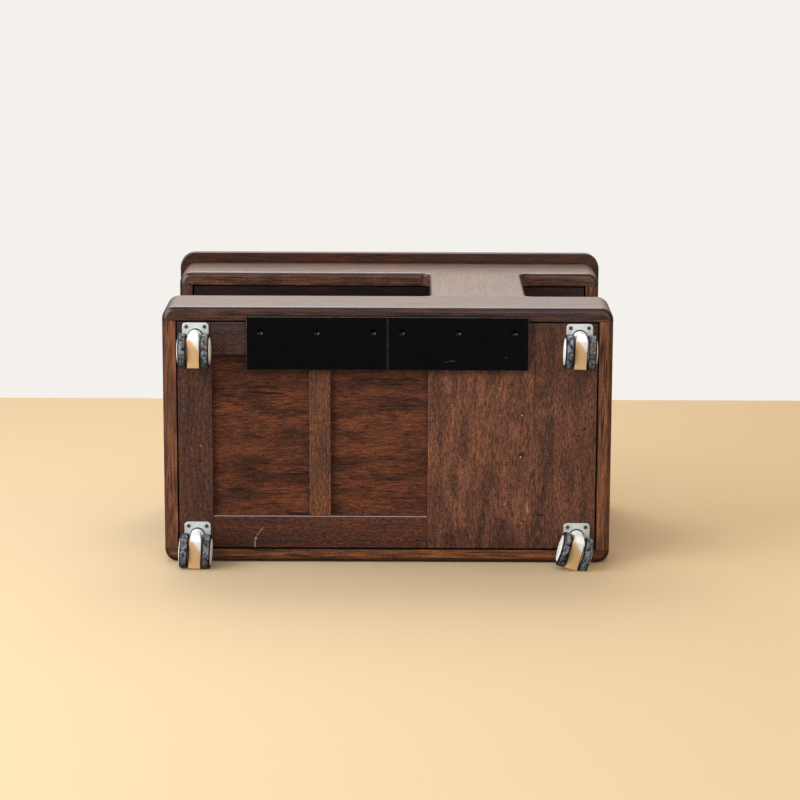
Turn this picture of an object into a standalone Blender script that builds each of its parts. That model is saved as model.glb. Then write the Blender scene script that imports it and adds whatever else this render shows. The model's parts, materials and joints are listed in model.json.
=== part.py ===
"""Side table on four twin-wheel swivel casters, assembled from boards, steel plates and caster parts.

Metres, +Z up. The table stands on its wheels. The origin lies on the floor under the middle of the
tabletop, +Y is the back, where the counterweights hang, and +X is the right-hand end seen from the front.
"""

import math

import bmesh
import bpy
from mathutils import Matrix, Vector

# Fits
SEAT_GAP = 0.0003
CUT_PAST = 0.004
JOIN_DEPTH = 0.0008

# The two rail boxes: the base tray below and the closed box under the tabletop
BODY_LENGTH = 0.646
BODY_DEPTH = 0.376
BOX_HEIGHT = 0.105
BAY_HEIGHT = 0.214
RAIL_THICKNESS = 0.020
CORNER_RADIUS = 0.018
LOWER_EDGE_RADIUS = 0.008
UPPER_EDGE_RADIUS = 0.005
TENON_LENGTH = 0.010
TENON_THICKNESS = 0.008
TENON_SHOULDER = 0.032
TONGUE_LENGTH = 0.006

# Tabletop and the cleats that hold it
TOP_THICKNESS = 0.016
TOP_OVERHANG_ENDS = 0.007
TOP_OVERHANG_SIDES = 0.015
TOP_CORNER_RADIUS = 0.024
TOP_EDGE_RADIUS = 0.006
CLEAT_SIZE = 0.018
CLEAT_END_SPACE = 0.030

# Panel that closes the upper box from below
PANEL_RECESS = 0.003
PANEL_SHADOW_GAP = 0.002
PANEL_TONGUE = 0.006
NOTCH_WALL = 0.002
NOTCH_PAST_ROUNDING = 0.001

# Base floor and the boards glued under it
FLOOR_THICKNESS = 0.012
BATTEN_THICKNESS = 0.008
BATTEN_SHADOW_GAP = 0.002
BATTEN_WIDTH = 0.0475
END_STILE_WIDTH = 0.049
MIDDLE_STILE_WIDTH = 0.0305
WIDE_BOARD_WIDTH = 0.2424

# Hollow pedestal between the two boxes
PEDESTAL_WIDTH = 0.140
PEDESTAL_SETBACK = 0.0032
PEDESTAL_WALL = 0.015
PEDESTAL_FILLET = 0.012
PEDESTAL_EDGE_RADIUS = 0.005

# Counterweights and their screws
COUNTERWEIGHT_DEPTH = 0.077
COUNTERWEIGHT_THICKNESS = 0.012
COUNTERWEIGHT_JOINT = 0.0006
COUNTERWEIGHT_EDGE_INSET = 0.012
COUNTERWEIGHT_TO_CASTER = 0.0249
WEIGHT_SCREW_EDGE = 0.0223
WEIGHT_SCREW_END = 0.020
WEIGHT_SCREW_HEAD_RADIUS = 0.0046
WEIGHT_SCREW_HEAD_HEIGHT = 0.0032
WEIGHT_SCREW_SHANK_RADIUS = 0.0022
WEIGHT_SCREW_SUNK = 0.0012
WEIGHT_SCREW_BITE = 0.0065

# Casters
WHEEL_DIAMETER = 0.050
TYRE_WIDTH = 0.012
TYRE_THICKNESS = 0.0057
TYRE_SHOULDER = 0.0016
HUB_DOME = 0.0035
# Points on the dome, as shares of the hub's radius and of the dome's height
HUB_DOME_POINTS = ((0.0, 1.0), (0.6, 0.8), (0.9, 0.35), (1.0, 0.0))
WHEEL_GAP = 0.0015
AXLE_RADIUS = 0.0025
AXLE_END_COVER = 0.004
CASTER_TRAIL = 0.016
FIN_WIDTH = 0.017
FIN_RIM = 0.001
FIN_GROUND_CLEARANCE = 0.007
NECK_FLARE = 0.0012
NECK_TAPER = 0.010
HEAD_CLEARANCE = 0.0055
RACEWAY_RADIUS = 0.012
RACEWAY_HEIGHT = 0.0022
KINGPIN_RADIUS = 0.003
KINGPIN_LENGTH = 0.012
CASTER_PLATE_SIDE = 0.038
CASTER_PLATE_THICKNESS = 0.002
CASTER_PLATE_CORNER = 0.0055
CASTER_PLATE_END_INSET = 0.0073
CASTER_PLATE_SIDE_INSET = 0.0005
CASTER_SCREW_PITCH = 0.026
CASTER_SCREW_HEAD_RADIUS = 0.0034
CASTER_SCREW_FACE_RADIUS = 0.00272
CASTER_SCREW_HEAD_HEIGHT = 0.0012
CASTER_SCREW_SHANK_RADIUS = 0.0017
CASTER_SCREW_BITE = 0.0065

# Swivel angles in degrees at rest, seen from above, by corner
REST_SWIVEL = {"back_right": 0.0, "back_left": 2.5, "front_right": 3.0, "front_left": 15.3}

# Facets
CORNER_STEPS = 5
EDGE_STEPS = 3
FILLET_STEPS = 5
WHEEL_STEPS = 24
FIN_STEPS = 18
ROUND_STEPS = 16
SCREW_STEPS = 10

# Heights and half-lengths that follow from the sizes above
WHEEL_RADIUS = WHEEL_DIAMETER / 2
RACEWAY_FLOOR = WHEEL_DIAMETER + HEAD_CLEARANCE
PLATE_FLOOR = RACEWAY_FLOOR + RACEWAY_HEIGHT
BASE_FLOOR = PLATE_FLOOR + CASTER_PLATE_THICKNESS + SEAT_GAP
BASE_TOP = BASE_FLOOR + BOX_HEIGHT
BOX_FLOOR = BASE_TOP + BAY_HEIGHT
BOX_TOP = BOX_FLOOR + BOX_HEIGHT
HALF_LENGTH = BODY_LENGTH / 2
HALF_DEPTH = BODY_DEPTH / 2
INNER_LENGTH = HALF_LENGTH - RAIL_THICKNESS
INNER_DEPTH = HALF_DEPTH - RAIL_THICKNESS
NOTCH_DEPTH = max(LOWER_EDGE_RADIUS, UPPER_EDGE_RADIUS) + NOTCH_PAST_ROUNDING

LATTICE_END = INNER_LENGTH - BATTEN_SHADOW_GAP
LATTICE_SIDE = INNER_DEPTH - BATTEN_SHADOW_GAP
FLOOR_BOTTOM = BASE_FLOOR + BATTEN_THICKNESS + SEAT_GAP
FLOOR_TOP = FLOOR_BOTTOM + FLOOR_THICKNESS
PANEL_BOTTOM = BOX_FLOOR + PANEL_RECESS
PANEL_TONGUE_BOTTOM = BOX_FLOOR + NOTCH_DEPTH + NOTCH_WALL
PANEL_TOP = PANEL_TONGUE_BOTTOM + PANEL_TONGUE

WIDE_BOARD_EDGE = WIDE_BOARD_WIDTH - LATTICE_END
STILE_EDGE = LATTICE_END - END_STILE_WIDTH
MIDDLE_STILE_X = (WIDE_BOARD_EDGE + STILE_EDGE) / 2
PEDESTAL_RIGHT = WIDE_BOARD_EDGE - PEDESTAL_SETBACK
PEDESTAL_X = PEDESTAL_RIGHT - PEDESTAL_WIDTH / 2

CASTER_X = LATTICE_END - CASTER_PLATE_END_INSET - CASTER_PLATE_SIDE / 2
CASTER_Y = LATTICE_SIDE - CASTER_PLATE_SIDE_INSET - CASTER_PLATE_SIDE / 2
WHEEL_INNER = FIN_WIDTH / 2 + WHEEL_GAP
WHEEL_OUTER = WHEEL_INNER + TYRE_WIDTH
HUB_RADIUS = WHEEL_RADIUS - TYRE_THICKNESS
CASTER_SWEEP = math.hypot(CASTER_TRAIL + WHEEL_RADIUS, WHEEL_OUTER + HUB_DOME)
COUNTERWEIGHT_END = CASTER_X - CASTER_SWEEP - COUNTERWEIGHT_TO_CASTER
CORNERS = {
    "back_right": (CASTER_X, CASTER_Y),
    "back_left": (-CASTER_X, CASTER_Y),
    "front_right": (CASTER_X, -CASTER_Y),
    "front_left": (-CASTER_X, -CASTER_Y),
}

# A facet's middle lies nearer the axis than its corners, by this factor
WHEEL_FACET = math.cos(math.pi / WHEEL_STEPS)


def clear_scene():
    for obj in list(bpy.data.objects):
        bpy.data.objects.remove(obj, do_unlink=True)


def new_collection(name):
    collection = bpy.data.collections.new(name)
    bpy.context.scene.collection.children.link(collection)
    return collection


def new_material(name, colour, roughness, metallic=0.0):
    material = bpy.data.materials.new(name)
    material.use_nodes = True
    shader = material.node_tree.nodes["Principled BSDF"]
    shader.inputs["Base Color"].default_value = (*colour, 1.0)
    shader.inputs["Roughness"].default_value = roughness
    shader.inputs["Metallic"].default_value = metallic
    return material


def add_object(name, mesh, material=None, collection=None):
    """A new object for the mesh, in the parts unless another collection is given."""
    obj = bpy.data.objects.new(name, mesh)
    (collection or PARTS).objects.link(obj)
    if material:
        obj.data.materials.clear()
        obj.data.materials.append(material)
    return obj


def mesh_of(name, shape):
    """The bmesh as a mesh with its faces turned outwards."""
    bmesh.ops.recalc_face_normals(shape, faces=shape.faces)
    mesh = bpy.data.meshes.new(name)
    shape.to_mesh(mesh)
    shape.free()
    return mesh


def bake(obj):
    """Put the object's evaluated shape in place of its mesh and modifiers."""
    bpy.context.view_layer.update()
    graph = bpy.context.evaluated_depsgraph_get()
    mesh = bpy.data.meshes.new_from_object(obj.evaluated_get(graph))
    obj.modifiers.clear()
    obj.data = mesh
    return obj


def combine(obj, other, operation, keep=False):
    """Join, cut or intersect one object with another, which is then removed unless it is kept."""
    modifier = obj.modifiers.new(operation.lower(), "BOOLEAN")
    modifier.operation = operation
    modifier.object = other
    bake(obj)
    if not keep:
        bpy.data.objects.remove(other, do_unlink=True)
    return obj


def box(name, low, high, material=None, collection=None):
    """A box between two opposite corners."""
    low = Vector(low)
    high = Vector(high)
    shape = bmesh.new()
    bmesh.ops.create_cube(shape, size=1.0)
    bmesh.ops.scale(shape, vec=high - low, verts=shape.verts)
    obj = add_object(name, mesh_of(name, shape), material, collection)
    obj.location = (low + high) / 2
    return obj


def cutter(low, high):
    return box("cutter", low, high, collection=CUTTERS)


def round_edges(shape, edges, radius, steps):
    bmesh.ops.bevel(
        shape,
        geom=edges,
        offset=radius,
        offset_type="OFFSET",
        segments=steps,
        profile=0.5,
        affect="EDGES",
        clamp_overlap=False,
    )


def rounded_slab(
    name, half_length, half_depth, bottom, top, corner, lower, upper, material=None, collection=None
):
    """A slab with round plan corners, and with round lower and upper edges where their radius isn't zero."""
    half = (top - bottom) / 2
    shape = bmesh.new()
    bmesh.ops.create_cube(shape, size=2.0)
    bmesh.ops.scale(shape, vec=(half_length, half_depth, half), verts=shape.verts)
    upright = [e for e in shape.edges if abs(e.verts[0].co.z - e.verts[1].co.z) > half]
    round_edges(shape, upright, corner, CORNER_STEPS)
    for side, radius in ((-1, lower), (1, upper)):
        if radius > 0:
            rim = [e for e in shape.edges if all(abs(v.co.z - side * half) < half * 1e-4 for v in e.verts)]
            round_edges(shape, rim, radius, EDGE_STEPS)
    obj = add_object(name, mesh_of(name, shape), material, collection)
    obj.location.z = (bottom + top) / 2
    return obj


def turned(name, profile, steps, material=None, collection=None):
    """A solid turned about +Z from (radius, height) points that run down its outer side."""
    closed = profile[0][0] > 0
    mesh = bpy.data.meshes.new(name)
    count = len(profile)
    edges = [(i, (i + 1) % count) for i in range(count if closed else count - 1)]
    mesh.from_pydata([(r, 0.0, h) for r, h in profile], edges, [])
    obj = add_object(name, mesh, material, collection)
    screw = obj.modifiers.new("turn", "SCREW")
    screw.axis = "Z"
    screw.steps = steps
    screw.render_steps = steps
    screw.use_merge_vertices = True
    screw.merge_threshold = 1e-6
    bake(obj)
    shape = bmesh.new()
    shape.from_mesh(obj.data)
    obj.data = mesh_of(name, shape)
    if material:
        obj.data.materials.append(material)
    return obj


def rod(name, radius, low, high, steps, collection=None):
    """A plain cylinder along Z between two heights."""
    shape = bmesh.new()
    bmesh.ops.create_cone(
        shape, cap_ends=True, segments=steps, radius1=radius, radius2=radius, depth=high - low
    )
    obj = add_object(name, mesh_of(name, shape), collection=collection)
    obj.location.z = (low + high) / 2
    return obj


def arc(centre, radius, start, end, steps):
    """Points on a circular arc, with its angles in degrees."""
    points = []
    for i in range(steps + 1):
        angle = math.radians(start + (end - start) * i / steps)
        points.append((centre[0] + radius * math.cos(angle), centre[1] + radius * math.sin(angle)))
    return points


def outline_shape(points, thickness):
    """A flat outline in XY, thickened along Z, as a bmesh whose flat faces are whole."""
    curve = bpy.data.curves.new("outline", "CURVE")
    curve.dimensions = "2D"
    curve.fill_mode = "BOTH"
    curve.extrude = thickness / 2
    spline = curve.splines.new("POLY")
    spline.points.add(len(points) - 1)
    for point, (x, y) in zip(spline.points, points):
        point.co = (x, y, 0.0, 1.0)
    spline.use_cyclic_u = True
    guide = add_object("outline", curve, collection=CUTTERS)
    graph = bpy.context.evaluated_depsgraph_get()
    mesh = bpy.data.meshes.new_from_object(guide.evaluated_get(graph))
    bpy.data.objects.remove(guide, do_unlink=True)
    shape = bmesh.new()
    shape.from_mesh(mesh)
    bmesh.ops.remove_doubles(shape, verts=shape.verts, dist=1e-6)
    bmesh.ops.dissolve_limit(shape, angle_limit=math.radians(0.1), verts=shape.verts, edges=shape.edges)
    return shape


def smooth(obj):
    """Shade a round piece smooth, with its corners kept sharp."""
    obj.data.shade_smooth()
    obj.data.set_sharp_from_angle(angle=math.radians(35))
    return obj


def rail_box(prefix, bottom, top, upper_radius, groove_bottom, groove_top, material):
    """Four rails cut from one round-cornered block: long rails run through, end rails are tenoned between."""
    slab = rounded_slab(
        prefix + "_block", HALF_LENGTH, HALF_DEPTH, bottom, top,
        CORNER_RADIUS, LOWER_EDGE_RADIUS, upper_radius, collection=CUTTERS,
    )
    low = bottom - CUT_PAST
    high = top + CUT_PAST
    groove_low = groove_bottom - SEAT_GAP
    groove_high = groove_top + SEAT_GAP
    groove_reach = TONGUE_LENGTH + SEAT_GAP
    tenon_x = INNER_LENGTH + RAIL_THICKNESS / 2
    tenon_half = TENON_THICKNESS / 2
    rails = {}
    for name, side in (("back", 1), ("front", -1)):
        near, far = sorted((side * INNER_DEPTH, side * (HALF_DEPTH + CUT_PAST)))
        end = HALF_LENGTH + CUT_PAST
        rail = box(f"{prefix}_rail_{name}", (-end, near, low), (end, far, high), material)
        combine(rail, slab, "INTERSECT", keep=True)
        near, far = sorted((side * (INNER_DEPTH - CUT_PAST), side * (INNER_DEPTH + groove_reach)))
        end = INNER_LENGTH + groove_reach
        combine(rail, cutter((-end, near, groove_low), (end, far, groove_high)), "DIFFERENCE")
        reach = side * (INNER_DEPTH + TENON_LENGTH + SEAT_GAP)
        near, far = sorted((side * (INNER_DEPTH - CUT_PAST), reach))
        half = tenon_half + SEAT_GAP
        for end in (-tenon_x, tenon_x):
            mortise = cutter(
                (end - half, near, bottom + TENON_SHOULDER - SEAT_GAP),
                (end + half, far, top - TENON_SHOULDER + SEAT_GAP),
            )
            combine(rail, mortise, "DIFFERENCE")
        rails[name] = rail
    length = INNER_DEPTH - SEAT_GAP
    for name, side in (("right", 1), ("left", -1)):
        near, far = sorted((side * INNER_LENGTH, side * (HALF_LENGTH + CUT_PAST)))
        rail = box(f"{prefix}_rail_{name}", (near, -length, low), (far, length, high), material)
        combine(rail, slab, "INTERSECT", keep=True)
        middle = side * tenon_x
        for reach in (-1, 1):
            start, stop = sorted((reach * (length - CUT_PAST), reach * (INNER_DEPTH + TENON_LENGTH)))
            tenon = cutter(
                (middle - tenon_half, start, bottom + TENON_SHOULDER),
                (middle + tenon_half, stop, top - TENON_SHOULDER),
            )
            combine(rail, tenon, "UNION")
        near, far = sorted((side * (INNER_LENGTH - CUT_PAST), side * (INNER_LENGTH + groove_reach)))
        past = length + CUT_PAST
        combine(rail, cutter((near, -past, groove_low), (far, past, groove_high)), "DIFFERENCE")
        rails[name] = rail
    bpy.data.objects.remove(slab, do_unlink=True)
    return rails


def notch_for_pedestal(rail, low, high):
    """Cut the seat for a foot of the pedestal boards through a long rail."""
    half = PEDESTAL_WIDTH / 2 + PEDESTAL_FILLET + SEAT_GAP
    y = HALF_DEPTH + CUT_PAST
    combine(rail, cutter((PEDESTAL_X - half, -y, low), (PEDESTAL_X + half, y, high)), "DIFFERENCE")


def build_pedestal(material):
    """Front and back boards with flared feet let into the rails, and two side walls from floor to panel."""
    half = PEDESTAL_WIDTH / 2
    foot = half + PEDESTAL_FILLET
    foot_bottom = BASE_TOP - NOTCH_DEPTH
    foot_top = BOX_FLOOR + NOTCH_DEPTH
    right = [(foot, foot_bottom)]
    right += arc((foot, BASE_TOP + PEDESTAL_FILLET), PEDESTAL_FILLET, 270, 180, FILLET_STEPS)
    right += arc((foot, BOX_FLOOR - PEDESTAL_FILLET), PEDESTAL_FILLET, 180, 90, FILLET_STEPS)
    right += [(foot, foot_top)]
    points = right + [(-x, z) for x, z in reversed(right)]
    shape = outline_shape(points, RAIL_THICKNESS)
    outer = RAIL_THICKNESS / 2
    tip = foot * (1 - 1e-4)
    rim = []
    for edge in shape.edges:
        on_face = all(v.co.z > outer * 0.9 for v in edge.verts)
        across = edge.verts[0].co.x * edge.verts[1].co.x < 0
        on_foot_side = all(abs(v.co.x) > tip for v in edge.verts)
        if on_face and not across and not on_foot_side:
            rim.append(edge)
    round_edges(shape, rim, PEDESTAL_EDGE_RADIUS, EDGE_STEPS)
    mesh = mesh_of("pedestal_board", shape)
    for name, turn in (("front", 0), ("back", math.pi)):
        board = add_object("pedestal_board_" + name, mesh, material)
        board.rotation_euler = (math.pi / 2, 0, turn)
        board.location = (PEDESTAL_X, (outer - HALF_DEPTH) * math.cos(turn), 0)
    length = INNER_DEPTH - SEAT_GAP
    bottom = FLOOR_TOP + SEAT_GAP
    top = PANEL_BOTTOM - SEAT_GAP
    for name, side in (("right", 1), ("left", -1)):
        outside = PEDESTAL_X + side * half
        near, far = sorted((outside, outside - side * PEDESTAL_WALL))
        box("pedestal_wall_" + name, (near, -length, bottom), (far, length, top), material)


def build_box(material, panel_material):
    """The closed box under the tabletop, with its panel and its two cleats."""
    rails = rail_box("box", BOX_FLOOR, BOX_TOP, 0, PANEL_TONGUE_BOTTOM, PANEL_TOP, material)
    for name in ("back", "front"):
        notch_for_pedestal(rails[name], BOX_FLOOR - CUT_PAST, BOX_FLOOR + NOTCH_DEPTH + SEAT_GAP)
    x = INNER_LENGTH - PANEL_SHADOW_GAP
    y = INNER_DEPTH - PANEL_SHADOW_GAP
    panel = box("box_panel", (-x, -y, PANEL_BOTTOM), (x, y, PANEL_TOP - JOIN_DEPTH), panel_material)
    x = INNER_LENGTH + TONGUE_LENGTH
    y = INNER_DEPTH + TONGUE_LENGTH
    combine(panel, cutter((-x, -y, PANEL_TONGUE_BOTTOM), (x, y, PANEL_TOP)), "UNION")
    length = INNER_LENGTH - CLEAT_END_SPACE
    for name, side in (("back", 1), ("front", -1)):
        outside = side * (INNER_DEPTH - SEAT_GAP)
        near, far = sorted((outside, outside - side * CLEAT_SIZE))
        box("box_cleat_" + name, (-length, near, BOX_TOP - CLEAT_SIZE), (length, far, BOX_TOP), material)


def build_tabletop(material):
    bottom = BOX_TOP + SEAT_GAP
    rounded_slab(
        "tabletop", HALF_LENGTH + TOP_OVERHANG_ENDS, HALF_DEPTH + TOP_OVERHANG_SIDES,
        bottom, bottom + TOP_THICKNESS, TOP_CORNER_RADIUS, TOP_EDGE_RADIUS, TOP_EDGE_RADIUS, material,
    )


def weight_screw_places():
    """(name, x, y) of the six screws, three along each counterweight."""
    y = HALF_DEPTH - COUNTERWEIGHT_EDGE_INSET - WEIGHT_SCREW_EDGE
    near = COUNTERWEIGHT_JOINT / 2 + WEIGHT_SCREW_END
    far = COUNTERWEIGHT_END - WEIGHT_SCREW_END
    places = []
    for name, side in (("right", 1), ("left", -1)):
        for number, x in enumerate((near, (near + far) / 2, far), 1):
            places.append((f"counterweight_screw_{name}_{number}", side * x, y))
    return places


def caster_screw_places(x, y):
    half = CASTER_SCREW_PITCH / 2
    return [(x + i * half, y + j * half) for i in (-1, 1) for j in (-1, 1)]


def drill(board, places, radius):
    """Blind pilot holes from below, as deep as a batten."""
    for x, y in places:
        hole = rod("pilot", radius + SEAT_GAP, BASE_FLOOR - CUT_PAST, FLOOR_BOTTOM, SCREW_STEPS, CUTTERS)
        hole.location.x = x
        hole.location.y = y
        combine(board, hole, "DIFFERENCE")


def build_base(material, panel_material):
    """The tray: rails, a floor let into them, and the stiles, battens and wide board glued under the floor."""
    rails = rail_box(
        "base", BASE_FLOOR, BASE_TOP, UPPER_EDGE_RADIUS, FLOOR_BOTTOM, FLOOR_TOP, material
    )
    for name in ("back", "front"):
        notch_for_pedestal(rails[name], BASE_TOP - NOTCH_DEPTH - SEAT_GAP, BASE_TOP + CUT_PAST)
    x = INNER_LENGTH + TONGUE_LENGTH
    y = INNER_DEPTH + TONGUE_LENGTH
    box("base_floor", (-x, -y, FLOOR_BOTTOM), (x, y, FLOOR_TOP), panel_material)

    top = FLOOR_BOTTOM - SEAT_GAP
    stile = box(
        "base_stile_right", (STILE_EDGE, -LATTICE_SIDE, BASE_FLOOR), (LATTICE_END, LATTICE_SIDE, top), material
    )
    wide = box(
        "base_wide_board",
        (-LATTICE_END, -LATTICE_SIDE, BASE_FLOOR), (WIDE_BOARD_EDGE, LATTICE_SIDE, top), material,
    )
    near = WIDE_BOARD_EDGE + SEAT_GAP
    far = STILE_EDGE - SEAT_GAP
    window = LATTICE_SIDE - BATTEN_WIDTH
    back = box("base_batten_back", (near, window, BASE_FLOOR), (far, LATTICE_SIDE, top), material)
    box("base_batten_front", (near, -LATTICE_SIDE, BASE_FLOOR), (far, -window, top), material)
    half = MIDDLE_STILE_WIDTH / 2
    side = window - SEAT_GAP
    box(
        "base_stile_middle",
        (MIDDLE_STILE_X - half, -side, BASE_FLOOR), (MIDDLE_STILE_X + half, side, top), material,
    )
    for corner, (x, y) in CORNERS.items():
        board = stile if corner.endswith("right") else wide
        drill(board, caster_screw_places(x, y), CASTER_SCREW_SHANK_RADIUS)
    screws = [(x, y) for _, x, y in weight_screw_places()]
    for board, low, high in ((back, near, far), (wide, -LATTICE_END, WIDE_BOARD_EDGE)):
        reach = WEIGHT_SCREW_SHANK_RADIUS + SEAT_GAP
        through = [(x, y) for x, y in screws if low - reach < x < high + reach]
        drill(board, through, WEIGHT_SCREW_SHANK_RADIUS)


def build_counterweights(steel, screw_steel):
    """Two steel bars screwed up under the back of the base, with their screw heads sunk in counterbores."""
    top = BASE_FLOOR - SEAT_GAP
    bottom = top - COUNTERWEIGHT_THICKNESS
    back = HALF_DEPTH - COUNTERWEIGHT_EDGE_INSET
    bore_depth = WEIGHT_SCREW_HEAD_HEIGHT + WEIGHT_SCREW_SUNK
    places = weight_screw_places()
    for name, side in (("right", 1), ("left", -1)):
        near, far = sorted((side * COUNTERWEIGHT_JOINT / 2, side * COUNTERWEIGHT_END))
        bar = box(
            "counterweight_" + name, (near, back - COUNTERWEIGHT_DEPTH, bottom), (far, back, top), steel
        )
        for _, x, y in places:
            if x * side > 0:
                hole = turned(
                    "hole",
                    [
                        (0, top + CUT_PAST),
                        (WEIGHT_SCREW_SHANK_RADIUS + SEAT_GAP, top + CUT_PAST),
                        (WEIGHT_SCREW_SHANK_RADIUS + SEAT_GAP, bottom + bore_depth),
                        (WEIGHT_SCREW_HEAD_RADIUS + SEAT_GAP, bottom + bore_depth),
                        (WEIGHT_SCREW_HEAD_RADIUS + SEAT_GAP, bottom - CUT_PAST),
                        (0, bottom - CUT_PAST),
                    ],
                    SCREW_STEPS,
                    collection=CUTTERS,
                )
                hole.location.x = x
                hole.location.y = y
                combine(bar, hole, "DIFFERENCE")
    head_bottom = bottom + WEIGHT_SCREW_SUNK
    head_top = head_bottom + WEIGHT_SCREW_HEAD_HEIGHT - SEAT_GAP
    profile = [
        (0, BASE_FLOOR + WEIGHT_SCREW_BITE),
        (WEIGHT_SCREW_SHANK_RADIUS, BASE_FLOOR + WEIGHT_SCREW_BITE - WEIGHT_SCREW_SHANK_RADIUS),
        (WEIGHT_SCREW_SHANK_RADIUS, head_top),
        (WEIGHT_SCREW_HEAD_RADIUS, head_top),
        (WEIGHT_SCREW_HEAD_RADIUS, head_bottom),
        (0, head_bottom),
    ]
    for name, x, y in places:
        screw = smooth(turned(name, profile, SCREW_STEPS, screw_steel))
        screw.location = (x, y, 0)


def caster_plate_mesh():
    """Mounting plate with its pressed raceway, riveted kingpin and four screws, about the swivel axis."""
    half = CASTER_PLATE_SIDE / 2
    plate_top = PLATE_FLOOR + CASTER_PLATE_THICKNESS
    plate = rounded_slab(
        "plate", half, half, PLATE_FLOOR, plate_top, CASTER_PLATE_CORNER, 0, 0, collection=CUTTERS
    )
    ring = turned(
        "raceway",
        [
            (0, PLATE_FLOOR + JOIN_DEPTH),
            (RACEWAY_RADIUS, PLATE_FLOOR + JOIN_DEPTH),
            (RACEWAY_RADIUS - RACEWAY_HEIGHT / 2, RACEWAY_FLOOR),
            (0, RACEWAY_FLOOR),
        ],
        WHEEL_STEPS,
        collection=CUTTERS,
    )
    combine(plate, ring, "UNION")
    pin_tip = RACEWAY_FLOOR - KINGPIN_LENGTH
    pin = rod("kingpin", KINGPIN_RADIUS, pin_tip, RACEWAY_FLOOR + JOIN_DEPTH, ROUND_STEPS, CUTTERS)
    combine(plate, pin, "UNION")
    head_floor = PLATE_FLOOR - CASTER_SCREW_HEAD_HEIGHT
    tip = BASE_FLOOR + CASTER_SCREW_BITE
    profile = [
        (0, tip),
        (CASTER_SCREW_SHANK_RADIUS, tip - CASTER_SCREW_SHANK_RADIUS),
        (CASTER_SCREW_SHANK_RADIUS, PLATE_FLOOR + JOIN_DEPTH),
        (CASTER_SCREW_HEAD_RADIUS, PLATE_FLOOR + JOIN_DEPTH),
        (CASTER_SCREW_FACE_RADIUS, head_floor),
        (0, head_floor),
    ]
    for x, y in caster_screw_places(0, 0):
        screw = turned("screw", profile, SCREW_STEPS, collection=CUTTERS)
        screw.location.x = x
        screw.location.y = y
        combine(plate, screw, "UNION")
    return detach_mesh(plate)


def detach_mesh(obj):
    """The object's mesh with its place worked in; the object is removed."""
    bpy.context.view_layer.update()
    mesh = obj.data
    mesh.transform(obj.matrix_world)
    bpy.data.objects.remove(obj, do_unlink=True)
    return mesh


def caster_body_mesh():
    """Fin between the wheels with its neck, about the swivel axis, trailing towards -Y."""
    radius = WHEEL_RADIUS + FIN_RIM
    axle_height = WHEEL_RADIUS
    flat = axle_height - FIN_GROUND_CLEARANCE
    last = 180 + math.degrees(math.asin(flat / radius))
    points = arc((CASTER_TRAIL, axle_height), radius, 0, last, FIN_STEPS)
    points.append((CASTER_TRAIL + radius, FIN_GROUND_CLEARANCE))
    shape = outline_shape(points, FIN_WIDTH)
    fin = add_object("fin", mesh_of("fin", shape), collection=CUTTERS)
    # Outline x runs back along -Y, outline y runs up and the thickness lies across
    fin.matrix_world = Matrix(((0, 0, -1, 0), (-1, 0, 0, 0), (0, 1, 0, 0), (0, 0, 0, 1)))
    top = RACEWAY_FLOOR - SEAT_GAP
    neck_radius = FIN_WIDTH / 2 + NECK_FLARE
    straight = WHEEL_DIAMETER - NECK_TAPER / 2
    neck = turned(
        "neck",
        [
            (0, top),
            (neck_radius - NECK_FLARE / 2, top),
            (neck_radius, top - NECK_FLARE),
            (neck_radius, straight),
            (neck_radius - 2 * NECK_FLARE, straight - NECK_TAPER),
            (0, straight - NECK_TAPER),
        ],
        ROUND_STEPS,
        collection=CUTTERS,
    )
    combine(fin, neck, "UNION")
    bore_floor = RACEWAY_FLOOR - KINGPIN_LENGTH - SEAT_GAP
    bore = rod("bore", KINGPIN_RADIUS + SEAT_GAP, bore_floor, top + CUT_PAST, ROUND_STEPS, CUTTERS)
    combine(fin, bore, "DIFFERENCE")
    half = FIN_WIDTH / 2 + CUT_PAST
    axle_hole = rod("axle_hole", AXLE_RADIUS + SEAT_GAP, -half, half, ROUND_STEPS, CUTTERS)
    axle_hole.rotation_euler.y = math.pi / 2
    axle_hole.location = (0, -CASTER_TRAIL, axle_height)
    combine(fin, axle_hole, "DIFFERENCE")
    return detach_mesh(fin)


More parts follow.
